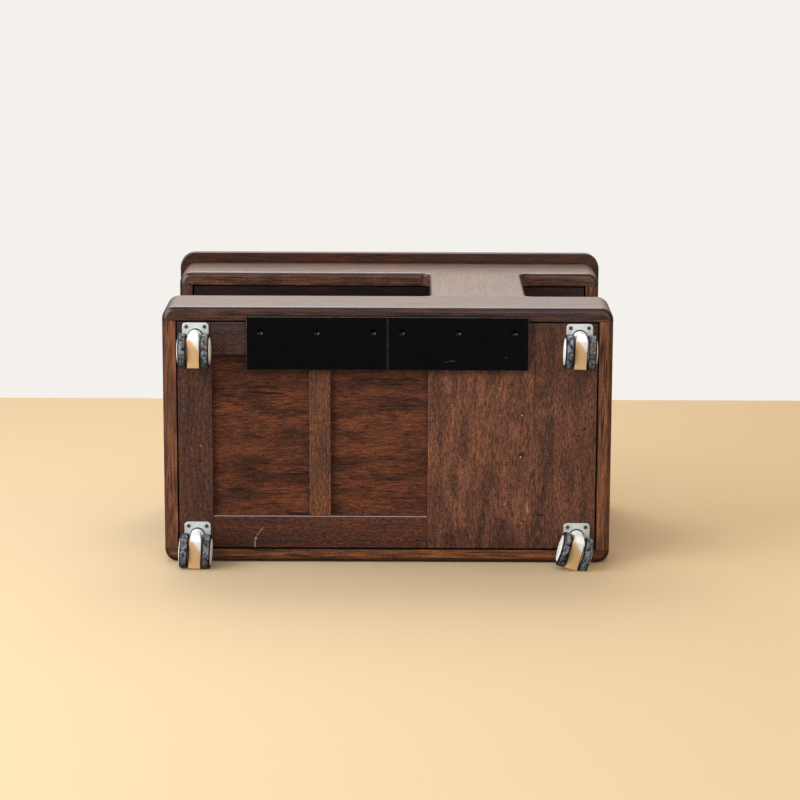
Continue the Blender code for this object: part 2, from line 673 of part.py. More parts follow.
def build_casters(zinc, body_plastic, axle_steel, rubber, hub_plastic):
    """Four casters: a plate fixed to the base, a body that swivels under it and two wheels on its axle."""
    plate_mesh = caster_plate_mesh()
    body_mesh = caster_body_mesh()
    tread = WHEEL_RADIUS / WHEEL_FACET
    seat = HUB_RADIUS + SEAT_GAP
    tyre_profile = [
        (seat, WHEEL_OUTER),
        (tread - TYRE_SHOULDER, WHEEL_OUTER),
        (tread, WHEEL_OUTER - TYRE_SHOULDER),
        (tread, WHEEL_INNER + TYRE_SHOULDER),
        (tread - TYRE_SHOULDER, WHEEL_INNER),
        (seat, WHEEL_INNER),
    ]
    bore = AXLE_RADIUS + SEAT_GAP
    axle_end = WHEEL_OUTER + HUB_DOME - AXLE_END_COVER
    hub_profile = [(HUB_RADIUS * r, WHEEL_OUTER + HUB_DOME * h) for r, h in HUB_DOME_POINTS]
    hub_profile += [
        (HUB_RADIUS, WHEEL_INNER),
        (bore, WHEEL_INNER),
        (bore, axle_end + SEAT_GAP),
        (0, axle_end + SEAT_GAP),
    ]
    wheel_pieces = (("tyre", tyre_profile, rubber), ("hub", hub_profile, hub_plastic))
    half_step = Matrix.Rotation(math.pi / WHEEL_STEPS, 4, "Z")
    for corner, (x, y) in CORNERS.items():
        name = "caster_" + corner
        plate = add_object(name + "_plate", plate_mesh, zinc)
        plate.location = (x, y, 0)
        swivel = bpy.data.objects.new(name + "_swivel", None)
        PARTS.objects.link(swivel)
        swivel.location = (x, y, 0)
        swivel.rotation_euler.z = math.radians(REST_SWIVEL[corner])
        body = smooth(add_object(name + "_body", body_mesh, body_plastic))
        body.parent = swivel
        axle = smooth(rod(name + "_axle", AXLE_RADIUS, -axle_end, axle_end, ROUND_STEPS))
        axle.data.materials.append(axle_steel)
        axle.parent = swivel
        axle.rotation_euler.y = math.pi / 2
        axle.location = (0, -CASTER_TRAIL, WHEEL_RADIUS)
        for hand, side in (("right", 1), ("left", -1)):
            turn = Matrix.Rotation(side * math.pi / 2, 4, "Y") @ half_step
            for piece, profile, material in wheel_pieces:
                wheel = smooth(turned(f"{name}_{piece}_{hand}", profile, WHEEL_STEPS, material))
                wheel.parent = swivel
                wheel.location = (0, -CASTER_TRAIL, WHEEL_RADIUS)
                wheel.rotation_euler = turn.to_euler()


clear_scene()
PARTS = new_collection("side_table")
CUTTERS = new_collection("cutters")

stained_wood = new_material("stained walnut, satin lacquer", (0.080, 0.037, 0.024), 0.42)
panel_wood = new_material("stained walnut panel", (0.068, 0.029, 0.018), 0.50)
black_steel = new_material("black painted steel", (0.010, 0.010, 0.011), 0.55)
screw_steel = new_material("blackened screw steel", (0.16, 0.15, 0.14), 0.35, 1.0)
zinc_steel = new_material("zinc plated steel", (0.62, 0.65, 0.66), 0.32, 1.0)
ivory_plastic = new_material("ivory nylon", (0.78, 0.70, 0.55), 0.35)
tyre_rubber = new_material("dark grey rubber", (0.045, 0.047, 0.050), 0.75)
hub_plastic = new_material("cream hub plastic", (0.80, 0.74, 0.62), 0.35)

build_tabletop(stained_wood)
build_box(stained_wood, panel_wood)
build_pedestal(stained_wood)
build_base(stained_wood, panel_wood)
build_counterweights(black_steel, screw_steel)
build_casters(zinc_steel, ivory_plastic, screw_steel, tyre_rubber, hub_plastic)
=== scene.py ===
# %% [markdown]
# # A dark wooden side table on casters
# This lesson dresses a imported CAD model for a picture. The CAD solids say where every board, bar and wheel is.
# Here each visible solid gets a finer surface, worked out with numpy, and a finish made from nodes.
# The table stands on its wheels in its own frame: +Z is up, +Y is the back and +X is the right-hand end.
# The picture shows it lying on its front, so the camera looks up at its underside.

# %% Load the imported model
import json
import math
from collections import namedtuple

import bpy
import numpy as np
from mathutils import Euler, Matrix, Vector
from mathutils.geometry import delaunay_2d_cdt

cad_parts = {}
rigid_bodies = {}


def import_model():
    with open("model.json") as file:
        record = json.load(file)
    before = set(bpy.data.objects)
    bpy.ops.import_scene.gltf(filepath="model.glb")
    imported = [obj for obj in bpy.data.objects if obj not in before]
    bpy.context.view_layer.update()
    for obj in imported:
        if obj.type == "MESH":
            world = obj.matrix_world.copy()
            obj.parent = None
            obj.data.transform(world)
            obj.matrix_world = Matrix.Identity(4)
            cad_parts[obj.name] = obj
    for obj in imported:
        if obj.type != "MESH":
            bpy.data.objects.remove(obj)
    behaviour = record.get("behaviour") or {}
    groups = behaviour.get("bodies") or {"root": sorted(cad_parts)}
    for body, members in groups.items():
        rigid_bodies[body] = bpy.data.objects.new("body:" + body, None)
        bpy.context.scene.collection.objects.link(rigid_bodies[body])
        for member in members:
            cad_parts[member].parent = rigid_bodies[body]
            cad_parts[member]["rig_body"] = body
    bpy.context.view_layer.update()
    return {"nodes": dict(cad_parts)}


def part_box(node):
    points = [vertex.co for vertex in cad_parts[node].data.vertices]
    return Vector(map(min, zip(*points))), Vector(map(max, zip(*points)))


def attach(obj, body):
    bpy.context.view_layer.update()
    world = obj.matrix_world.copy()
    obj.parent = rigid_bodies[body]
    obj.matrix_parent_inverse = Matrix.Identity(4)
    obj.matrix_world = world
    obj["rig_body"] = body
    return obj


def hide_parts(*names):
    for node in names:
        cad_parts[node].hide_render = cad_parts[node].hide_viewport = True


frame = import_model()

MM = 0.001
scene = bpy.context.scene
scene.view_settings.view_transform = "Standard"

# %% [markdown]
# ## The camera
# A long lens was used from about four metres away and a little above the table as it lies. Blender's camera looks
# along its own -Z with +Y up. Here "up in the picture" is the table's +Y, "right" is its -X, and the camera looks
# along the table's +Z. Three small turns aim it. No lens shift is needed.

# %% Camera
PICTURE_SIDE = 800
FOCAL_PIXELS = 2760.0
CAMERA_PLACE = (-0.0272, 0.8476, -3.825)
CAMERA_TURNS = tuple(math.radians(angle) for angle in (-11.552, 0.173, 0.191))

lens = bpy.data.cameras.new("camera")
lens.sensor_width = 36.0
lens.lens = FOCAL_PIXELS * lens.sensor_width / PICTURE_SIDE
camera = bpy.data.objects.new("camera", lens)
scene.collection.objects.link(camera)
facing_underside = Matrix(((-1, 0, 0), (0, 1, 0), (0, 0, -1)))
camera.matrix_world = Matrix.Translation(CAMERA_PLACE) @ (
    facing_underside @ Euler(CAMERA_TURNS).to_matrix()
).to_4x4()
scene.camera = camera
print("lens in mm:", round(lens.lens, 1))

# %% [markdown]
# ## Surfaces from arrays
# A board is an outline with two flat faces and eased edges. Carrying a quarter-circle edge profile along the outline
# gives all of that at once, as a grid: one direction runs round the outline, the other across the edge.
# Modelling by hand with bevels would do as well, but the arrays keep every radius exact, and they also know where an
# edge is, which the finish uses to show wear and painted highlights and shade. Turned parts, such as wheels, carry a
# profile round an axis instead.

# %% Outlines and grids
# The last field is a value at each point: the share of edge wear, and of painted highlight and shade.
Surface = namedtuple("Surface", "points faces normals rubbed")
CORNER_STEPS = 8


def arc(centre, radius, angles):
    """Points of an arc: the centre plus the radius times (cos a, sin a). With two radii it is part of an ellipse."""
    return np.array(centre) + np.array(radius) * np.stack([np.cos(angles), np.sin(angles)], axis=-1)


def rectangle(low, high):
    """Four corners of a rectangle, anticlockwise."""
    return [(low[0], low[1]), (high[0], low[1]), (high[0], high[1]), (low[0], high[1])]


def round_rectangle(low, high, radius):
    """Points and outward normals of a rectangle with round corners, anticlockwise from its lowest corner.

    At each corner the normal turns evenly by a right angle. A point is the corner circle's centre plus the radius
    times the normal."""
    angles = math.pi + (np.arange(4)[:, None] + np.linspace(0, 1, CORNER_STEPS + 1)) * math.pi / 2
    normals = arc((0, 0), 1, angles)
    centres = rectangle((low[0] + radius, low[1] + radius), (high[0] - radius, high[1] - radius))
    points = np.array(centres)[:, None] + radius * normals
    return points.reshape(-1, 2), normals.reshape(-1, 2)


def ring_quads(rows):
    """Quads between neighbouring rows of vertex numbers, where each row is a closed ring."""
    ahead = np.roll(rows, -1, axis=1)
    return np.stack([rows[:-1], ahead[:-1], ahead[1:], rows[1:]], axis=-1).reshape(-1, 4)


def unit_circle(steps):
    """Points of a circle of radius 1 in equal steps."""
    return arc((0, 0), 1, np.arange(steps) / steps * 2 * math.pi)


def lifted(plan, height):
    """Points (x, y, z) from plan points (x, y) and a height, which rows or all of them may share."""
    height = np.broadcast_to(height, plan.shape[:-1])
    return np.concatenate([plan, height[..., None]], axis=-1)


# %% [markdown]
# The edge profile is a quarter circle of radius r. At an angle t from the flat face, a point lies r (1 - sin t) in
# from the outline and r (1 - cos t) up from the face. The radius may change from point to point of the outline, so a
# rail can be well rounded outside and nearly sharp inside. The normals come from the same angle, so flats stay flat.

# %% Eased edges
EDGE_STEPS = 5


def edge_rings(points, normals, ease, face, way):
    """Rings of the rounding from a flat face to the side, their normals and their share of edge tint, sin 2t."""
    t = np.linspace(0, math.pi / 2, EDGE_STEPS + 1)[:, None]
    ease = np.broadcast_to(ease, len(points))
    plan = points - (ease * (1 - np.sin(t)))[..., None] * normals
    rings = lifted(plan, face + way * ease * (1 - np.cos(t)))
    facing = lifted(np.sin(t)[..., None] * normals, -way * np.cos(t))
    return rings, facing, np.broadcast_to(np.sin(2 * t), plan.shape[:-1])


# %% [markdown]
# Some boards have blind holes for screws or plugs in their lower face. That face is cut into triangles between its
# rim and the mouths of the holes. Each hole is then four rings: its mouth, two on its wall, and its floor.

# %% Blind holes
HOLE_STEPS = 20
HOLE_EASE = 0.3 * MM
HOLE_SPREAD = np.array([0.0, -1.0, -1.0, 0.0])
KEEP_INSIDE, MERGE_DISTANCE = 1, 1e-9


def drilled_face(rim, holes, low, start):
    """A flat face at one height with round blind holes in it: triangles between rim and holes, then the holes.

    A hole's rings step from its eased mouth up the wall to its eased floor. Vertex numbers from 0 are the rim's."""
    circle = unit_circle(HOLE_STEPS)
    mouths = [np.array([x, y]) + circle * (radius + HOLE_EASE) for x, y, radius, _ in holes]
    flat = np.concatenate([rim, *mouths])
    owner = np.concatenate([np.zeros(len(rim), int), np.repeat(np.arange(1, len(holes) + 1), HOLE_STEPS)])
    edges = []
    for number in range(len(holes) + 1):
        loop = np.flatnonzero(owner == number)
        edges += np.stack([loop, np.roll(loop, -1)], axis=1).tolist()
    triangles = np.array(delaunay_2d_cdt(flat.tolist(), edges, [], KEEP_INSIDE, MERGE_DISTANCE)[2])
    in_mouth = (owner[triangles] == owner[triangles[:, :1]]).all(axis=1) & (owner[triangles[:, 0]] > 0)
    rings = len(HOLE_SPREAD)
    rows = start + np.arange(len(holes) * rings * HOLE_STEPS).reshape(-1, rings, HOLE_STEPS)
    numbers = np.concatenate([np.arange(len(rim)), rows[:, 0].ravel()])
    faces = numbers[triangles[~in_mouth][:, ::-1]].tolist()
    points, normals = [], []
    for hole_rows, (x, y, radius, depth) in zip(rows, holes):
        reach = np.array([radius + HOLE_EASE, radius, radius, radius - HOLE_EASE])
        height = low + np.array([0, HOLE_EASE, depth - HOLE_EASE, depth])
        points.append(lifted(np.array([x, y]) + reach[:, None, None] * circle, height[:, None]))
        normals.append(lifted(HOLE_SPREAD[:, None, None] * circle, np.abs(HOLE_SPREAD)[:, None] - 1))
        faces += ring_quads(hole_rows)[:, ::-1].tolist() + [hole_rows[-1][::-1].tolist()]
    return np.concatenate(points).reshape(-1, 3), np.concatenate(normals).reshape(-1, 3), faces


# %% Eased boards
def eased_board(points, normals, low, high, ease_low, ease_high, notch=None, holes=()):
    """Closed board over an outline: lower rounding, side, upper rounding and two flat faces.

    A notch (x from, x to, floor height) is sunk from the upper face: above its floor the rings split in two."""
    count = len(points)
    lower = edge_rings(points, normals, ease_low, low, 1)
    upper = [rows[::-1] for rows in edge_rings(points, normals, ease_high, high, -1)]
    stacks = [lower, upper]
    if notch:
        stacks.insert(1, (lifted(points, notch[2])[None], lifted(normals, 0)[None], np.zeros((1, count))))
    rings, facing, rubbed = (np.concatenate(parts) for parts in zip(*stacks))
    numbers = np.arange(rings.shape[0] * count).reshape(-1, count)
    if notch:
        below = EDGE_STEPS + 2
        left = np.flatnonzero(points[:, 0] < (notch[0] + notch[1]) / 2)
        right = np.setdiff1d(np.arange(count), left)
        faces = ring_quads(numbers[:below]).tolist()
        for part in (left, right):
            faces += ring_quads(numbers[below - 1:, part]).tolist() + [numbers[-1, part].tolist()]
        gap = np.flatnonzero(np.diff(left) > 1)[0]
        floor = [left[gap], right[0], right[-1], left[gap + 1]]
        faces.append(numbers[below - 1, floor].tolist())
    else:
        faces = ring_quads(numbers).tolist() + [numbers[-1].tolist()]
    all_points, all_normals = rings.reshape(-1, 3), facing.reshape(-1, 3)
    edge_wear_and_painted_light = rubbed.ravel()
    if holes:
        more, more_normals, more_faces = drilled_face(rings[0, :, :2], holes, low, len(all_points))
        all_points = np.concatenate([all_points, more])
        all_normals = np.concatenate([all_normals, more_normals])
        edge_wear_and_painted_light = np.concatenate([edge_wear_and_painted_light, np.zeros(len(more))])
        faces += more_faces
    else:
        faces.append(numbers[0][::-1].tolist())
    return Surface(all_points, faces, all_normals, edge_wear_and_painted_light)


# %% [markdown]
# A surface becomes a piece in one step: a mesh with normals, a value at each point and a finish. Normals that a
# surface brings along are kept. Otherwise edges that turn by more than 38 degrees stay sharp.

# %% Placing and dressing
SHARP_ANGLE = math.radians(38)


def placed(surface, axes=np.eye(3), origin=(0, 0, 0)):
    """The surface with its own x, y and z laid along three given axes, and moved to an origin."""
    axes = np.asarray(axes, float)
    faces = surface.faces if np.linalg.det(axes) > 0 else [face[::-1] for face in surface.faces]
    normals = None if surface.normals is None else surface.normals @ axes
    return Surface(surface.points @ axes + np.asarray(origin), faces, normals, surface.rubbed)


def dress(name, surface, finish, nodes=(), body=None):
    """Turn a surface into a piece with a finish. It rides where its CAD nodes ride, and stands for them."""
    mesh = bpy.data.meshes.new(name)
    mesh.from_pydata(surface.points.tolist(), [], surface.faces)
    mesh.polygons.foreach_set("use_smooth", np.ones(len(mesh.polygons), bool))
    if surface.normals is None:
        mesh.set_sharp_from_angle(angle=SHARP_ANGLE)
    else:
        mesh.normals_split_custom_set_from_vertices(surface.normals.tolist())
    mesh.attributes.new("rubbed", "FLOAT", "POINT").data.foreach_set("value", surface.rubbed.astype(np.float32))
    mesh.materials.append(finish)
    piece = bpy.data.objects.new(name, mesh)
    scene.collection.objects.link(piece)
    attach(piece, body or frame["nodes"][nodes[0]]["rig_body"])
    if nodes:
        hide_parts(*nodes)


def span(node):
    """Lowest and highest corner of a CAD node as arrays."""
    low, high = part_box(node)
    return np.array(low), np.array(high)


# %% [markdown]
# ## Finishes
# A finish is a tree of nodes that ends in one Principled shader. Colours are written as sRGB hex codes, as a paint
# card or a picture gives them, and one function turns them to the linear values that Blender works in.
# One more function adds a node, sets its own properties and links or sets its inputs.

# %% Colours and nodes
def linear(code):
    """Linear RGBA of an sRGB hex code: c / 12.92 below 0.04045, otherwise ((c + 0.055) / 1.055) ^ 2.4."""
    c = np.array([int(code[i:i + 2], 16) for i in (1, 3, 5)]) / 255
    return (*np.where(c <= 0.04045, c / 12.92, ((c + 0.055) / 1.055) ** 2.4).tolist(), 1.0)


def node(tree, kind, inputs=None, output=0, **settings):
    """Add one node and give back one of its outputs. Settings are its own properties.

    Each input takes a value, a colour code or an output of another node."""
    made = tree.nodes.new("ShaderNode" + kind)
    for key, value in settings.items():
        setattr(made, key, value)
    for key, value in (inputs or {}).items():
        if isinstance(value, bpy.types.NodeSocket):
            tree.links.new(value, made.inputs[key])
        else:
            made.inputs[key].default_value = linear(value) if isinstance(value, str) else value
    return made.outputs[output]


# %% [markdown]
# A finish starts as a material with one Principled shader and the Object coordinates of its piece, so that patterns
# have real sizes. Inputs that are the same all over are set on the shader itself, and the others are linked.
# Most patterns are noise of a given size in millimetres: the place is scaled, and the noise is spread to a range.
# A Mix node has many inputs. For colours, input 0 is the share, 6 and 7 are the two colours, and output 2 is the mix.

# %% Starting a finish
COLOUR_MIX = dict(output=2, data_type="RGBA")
WEAR_AND_PAINTED_LIGHT = dict(output="Fac", attribute_name="rubbed")


def new_finish(name, **constants):
    """An empty finish: its material, its Principled shader and Object coordinates. Constants sit on sockets."""
    finish = bpy.data.materials.new(name)
    finish.use_nodes = True
    shader = finish.node_tree.nodes["Principled BSDF"]
    for key, value in constants.items():
        shader.inputs[key.replace("_", " ")].default_value = value
    return finish, shader, node(finish.node_tree, "TexCoord", output="Object")


def wire(target, **outputs):
    """Link outputs to inputs of a node, such as Base_Color of the shader."""
    for key, socket in outputs.items():
        target.id_data.links.new(socket, target.inputs[key.replace("_", " ")])


def mottle(place, size_mm, detail, low=0.0, high=1.0, first=0.0, last=1.0):
    """Noise at a place, of one size along x and one across it, spread from low..high to first..last."""
    tree = place.id_data
    along, across = (1 / (side * MM) for side in size_mm)
    scaled = node(tree, "VectorMath", {0: place, 1: (along, across, across)}, operation="MULTIPLY")
    noise = node(tree, "TexNoise", {"Vector": scaled, "Scale": 1.0, "Detail": detail}, "Fac")
    return node(tree, "MapRange", {0: noise, 1: low, 2: high, 3: first, 4: last})


# %% [markdown]
# ### Walnut-stained wood under satin lacquer
# The boards are a close-grained hardwood, stained dark and sprayed with satin lacquer. From far to near the eye sees:
# patches where the stain took cooler or warmer, growth rings, thin dark streaks in clusters, and a fine grit of
# pores. Real pores are about 0.2 mm wide, too fine for this picture, so the grit is drawn 2 mm wide.
# The rings are a one-dimensional noise of a height map: the distance across the board, counted in rings, plus low
# hills. Where the hills win, the ring lines close into the loops of a flat-sawn board.

# %% Grain
GRAIN_TURNS = {"X": (0, 0, 0), "Y": (0, 0, -math.pi / 2), "Z": (0, math.pi / 2, 0)}
SWAY_SIZE = 45 * MM
RING_SLANT = (0, 0.8, 0.6)
CLUSTER_MM, STREAK_MM = (170, 24), (50, 2.2)
CALM_FROM, CALM_TO = 20 * MM, 60 * MM


def fibre_space(place, along, jump, sway_mm):
    """Coordinates with the grain along x, moved on by a jump and swayed sideways by noise."""
    tree = place.id_data
    grain = node(tree, "Mapping", {"Vector": place, "Location": jump, "Rotation": GRAIN_TURNS[along]})
    drift = node(tree, "TexNoise", {"Vector": grain, "Scale": 1 / SWAY_SIZE, "Detail": 2.0}, "Color")
    offset = node(tree, "VectorMath", {0: drift, 1: (0.5, 0.5, 0.5)}, operation="SUBTRACT")
    sway = node(tree, "VectorMath", {0: offset, 1: (0, sway_mm * MM, sway_mm * MM)}, operation="MULTIPLY")
    return node(tree, "VectorMath", {0: grain, 1: sway}, operation="ADD")


def streak_share(place, fibre, calm):
    """Thin dark streaks in clusters. In the middle of the table's depth only the calm share of them is left."""
    tree = place.id_data
    y = node(tree, "SeparateXYZ", {0: place}, "Y")
    off_middle = node(tree, "Math", {0: y}, operation="ABSOLUTE")
    share = node(tree, "MapRange", {0: off_middle, 1: CALM_FROM, 2: CALM_TO, 3: calm, 4: 1.0})
    for level in (mottle(fibre, STREAK_MM, 2.0, 0.53, 0.64), mottle(fibre, CLUSTER_MM, 2.0, 0.38, 0.56)):
        share = node(tree, "Math", {0: share, 1: level}, operation="MULTIPLY")
    return share


def ring_level(fibre, ring_mm, hills, hill_mm, rings):
    """Growth rings: noise along the sum of the distance across the board, in rings, and the hills."""
    tree = fibre.id_data
    slant = tuple(part / (ring_mm * MM) for part in RING_SLANT)
    across = node(tree, "VectorMath", {0: fibre, 1: slant}, "Value", operation="DOT_PRODUCT")
    height = node(tree, "Math", {0: mottle(fibre, hill_mm, 2.0), 1: hills, 2: across}, operation="MULTIPLY_ADD")
    lines = node(tree, "TexNoise", {"W": height, "Scale": 1.0, "Detail": 3.0}, "Fac", noise_dimensions="1D")
    return node(tree, "MapRange", {0: lines, 1: 0.3, 2: 0.7, 3: 1 - rings, 4: 1 + rings})


# %% [markdown]
# Some things depend on the place on the table. The underside is painted lighter in the middle and darker towards its
# rim, as painted light and shade. The narrow gap between the frame and the boards inside it is painted black as shade.
# The wide board is glued up from staves, so its grain jumps at each glue line. And there are single marks: scuffs,
# pits and specks.

# %% Wood by place
LIGHT_POOL_CENTRE = (-50 * MM, 0.0)
LIGHT_POOL_REACH = ((130 * MM, 330 * MM), (105 * MM, 155 * MM))
LIGHT_POOL_FALL = (0.4, 0.38)
FRAME_GAP = (302 * MM, 167 * MM)
GAP_HALF, GAP_MARGIN = 2.4 * MM, (0.9 * MM, 1.5 * MM)
GAP_MOUTH, GAP_TOP = (60.3 * MM, 61.0 * MM), 70 * MM


def painted_rim_shade(place, amount):
    """Painted light and shade: 1 in the middle of the underside, falling evenly towards its rim."""
    tree, level = place.id_data, 1.0
    sides = node(tree, "SeparateXYZ", {0: place}).node.outputs
    for side, centre, reach, fall in zip(sides, LIGHT_POOL_CENTRE, LIGHT_POOL_REACH, LIGHT_POOL_FALL):
        offset = node(tree, "Math", {0: side, 1: centre}, operation="SUBTRACT")
        distance = node(tree, "Math", {0: offset}, operation="ABSOLUTE")
        slope = node(tree, "MapRange", {0: distance, 1: reach[0], 2: reach[1], 3: 1.0, 4: 1 - fall * amount})
        level = node(tree, "Math", {0: slope, 1: level}, operation="MULTIPLY")
    return level


def gap_shade_share(place):
    """Painted shade: 1 inside the gap round the boards of the underside, a few millimetres wide and one board deep."""
    tree, beyond = place.id_data, []
    x, y, z = node(tree, "SeparateXYZ", {0: place}).node.outputs
    for side, half in zip((x, y), FRAME_GAP):
        distance = node(tree, "Math", {0: side}, operation="ABSOLUTE")
        beyond.append(node(tree, "Math", {0: distance, 1: half}, operation="SUBTRACT"))
    outermost = node(tree, "Math", dict(enumerate(beyond)), operation="MAXIMUM")
    off_line = node(tree, "Math", {0: outermost}, operation="ABSOLUTE")
    inside = node(tree, "Math", {0: off_line, 1: GAP_HALF}, operation="LESS_THAN")
    depth = node(tree, "MapRange", {0: z, 1: GAP_MOUTH[0], 2: GAP_MOUTH[1]})
    deep = node(tree, "Math", {0: inside, 1: depth}, operation="MULTIPLY")
    margin = node(tree, "MapRange", {0: off_line, 1: GAP_MARGIN[0], 2: GAP_MARGIN[1], 3: 0.9, 4: 0.0})
    painted_gap_shade = node(tree, "Math", {0: deep, 1: margin}, operation="MAXIMUM")
    below = node(tree, "Math", {0: z, 1: GAP_TOP}, operation="LESS_THAN")
    return node(tree, "Math", {0: painted_gap_shade, 1: below}, operation="MULTIPLY")


# %% Staves and marks
def stave_steps(place, staves):
    """Offset of the grain and depth of the stain, which jump where one glued stave ends and the next begins."""
    tree = place.id_data
    x = node(tree, "SeparateXYZ", {0: place}, "X")
    shift, shade = 0.0, 1.0
    for edge_mm, jump_mm, change in staves:
        past = node(tree, "Math", {0: x, 1: edge_mm * MM}, operation="LESS_THAN")
        shift = node(tree, "Math", {0: past, 1: jump_mm * MM, 2: shift}, operation="MULTIPLY_ADD")
        shade = node(tree, "Math", {0: past, 1: change, 2: shade}, operation="MULTIPLY_ADD")
    return node(tree, "CombineXYZ", {0: shift, 2: shift}), shade


def marked(place, colour, ragged_mm, marks):
    """Lay ragged marks over a colour: soft ellipses (x, y, half width, half height in mm, colour, strength)."""
    tree = place.id_data
    ragged = mottle(place, (ragged_mm, ragged_mm), 2.0, 0.3, 0.7, -0.5, 0.5)
    for x, y, across, along, tint, strength in marks:
        away = node(tree, "VectorMath", {0: place, 1: (x * MM, y * MM, 0)}, operation="SUBTRACT")
        sizes = (1 / (across * MM), 1 / (along * MM), 0)
        scaled = node(tree, "VectorMath", {0: away, 1: sizes}, operation="MULTIPLY")
        distance = node(tree, "VectorMath", {0: scaled}, "Value", operation="LENGTH")
        edge = node(tree, "Math", {0: ragged, 1: 0.8, 2: distance}, operation="MULTIPLY_ADD")
        share = node(tree, "MapRange", {0: edge, 1: 0.8, 2: 1.4, 3: strength, 4: 0.0})
        colour = node(tree, "Mix", {0: share, 6: colour, 7: tint}, **COLOUR_MIX)
    return colour


# %% [markdown]
# The wood finish puts these together: stain, then streaks, then all that makes it lighter or darker, with the painted
# light and shade towards the rim of the underside. Then come a tint on the eased edges, which is wear on some boards, a
# painted highlight on one side of others and darker on the rails, most of all as painted shade on the front rail, then
# dust, marks and the painted shade in the gap. Round flecks break up the grit, and the palest of them get a painted
# glint of pale grey.
# The lacquer is a coat: nearly clear when seen straight on, and pale with reflected light at a flat angle.

# %% Wood finish
DUST_AND_GLINT_GREY, PIT, GAP_SHADE_COLOUR = "#A89A90", "#140A06", "#0A0503"
PATCH_MM, FLECK_MM = (70, 20), (2.0, 2.0)
FLECK_DARK, FLECK_PALE, GLINT = 0.55, 1.45, 0.05


def stained_wood(
    name, along, cool, warm, dark, grit_mm=(8, 2.4), grit=0.72, ring_mm=5.0, hills=5.0, hill_mm=(150, 40), rings=0.2,
    streaks=0.6, sway_mm=0.0, calm=1.0, dust=0.0, rim=0.0, staves=(), marks=(), edge=("#948C90", 0.1), gloss=0.7,
    satin=0.22,
):
    """Wood with its grain along one axis: cool and warm stain patches, dark streaks, rings, grit and marks."""
    finish, shader, place = new_finish(
        "walnut-stained " + name,
        Coat_Weight=gloss, Coat_Roughness=satin, Coat_IOR=1.48, IOR=1.5, Specular_IOR_Level=0.15,
    )
    tree = finish.node_tree
    jump, shade = stave_steps(place, staves) if staves else ((0, 0, 0), 1.0)
    fibre = fibre_space(place, along, jump, sway_mm)
    streak = streak_share(place, fibre, calm)
    stain = node(tree, "Mix", {0: mottle(fibre, PATCH_MM, 3.0, 0.36, 0.64), 6: cool, 7: warm}, **COLOUR_MIX)
    share = node(tree, "Math", {0: streak, 1: streaks}, operation="MULTIPLY")
    colour = node(tree, "Mix", {0: share, 6: stain, 7: dark}, **COLOUR_MIX)

    pores = mottle(fibre, grit_mm, 2.0, 0.25, 0.75, 1 - grit, 1 + grit)
    flecks = mottle(place, FLECK_MM, 1.0, 0.25, 0.75, FLECK_DARK, FLECK_PALE)
    level = ring_level(fibre, ring_mm, hills, hill_mm, rings)
    # The rim factor is painted light and shade: lighter in the middle of the underside, darker towards its rim.
    for factor in (pores, flecks, shade, *([painted_rim_shade(place, rim)] if rim else [])):
        level = node(tree, "Math", {0: level, 1: factor}, operation="MULTIPLY")
    colour = node(tree, "Mix", {0: 1.0, 6: colour, 7: level}, blend_type="MULTIPLY", **COLOUR_MIX)

    # Painted glint: the palest flecks are mixed towards pale grey, as light caught in the lacquer.
    glint = node(tree, "MapRange", {0: flecks, 1: 1.0, 2: FLECK_PALE, 3: 0.0, 4: GLINT})
    edge_wear_and_painted_light = node(tree, "Math", {0: node(tree, "Attribute", **WEAR_AND_PAINTED_LIGHT), 1: edge[1]}, operation="MULTIPLY")
    layers = [(glint, DUST_AND_GLINT_GREY), (edge_wear_and_painted_light, edge[0])]
    if dust:
        layers.append((mottle(place, FLECK_MM, 2.0, 0.62, 0.8, 0.0, dust), DUST_AND_GLINT_GREY))
    for share, tint in layers:
        colour = node(tree, "Mix", {0: share, 6: colour, 7: tint}, **COLOUR_MIX)
    colour = marked(place, colour, 2.5, marks)
    # Painted shade: the gap round the boards of the underside is mixed to near black.
    colour = node(tree, "Mix", {0: gap_shade_share(place), 6: colour, 7: GAP_SHADE_COLOUR}, **COLOUR_MIX)

    spread = node(tree, "MapRange", {0: pores, 1: 1 - grit, 2: 1 + grit, 3: 0.52, 4: 0.4})
    relief = node(tree, "Math", {0: pores, 1: streak}, operation="SUBTRACT")
    bump = node(tree, "Bump", {"Height": relief, "Distance": 0.05 * MM, "Strength": 0.15})
    wire(shader, Base_Color=colour, Roughness=spread, Normal=bump)
    return finish


# %% [markdown]
# Each wood has its own stain colours, cool, warm and dark. The tabletop and the back rail are the darkest, and the end
# rails of the base the warmest. The panel of the box and the right end rail of the box are painted darker still, as
# shade. Rails have a longer grit than the flat-sawn boards, because they are cut along the fibre. The end rails and the
# underside have less lacquer. So the woods are a table: the boards, a name, the direction of the grain, the colours,
# and whatever differs from the usual.

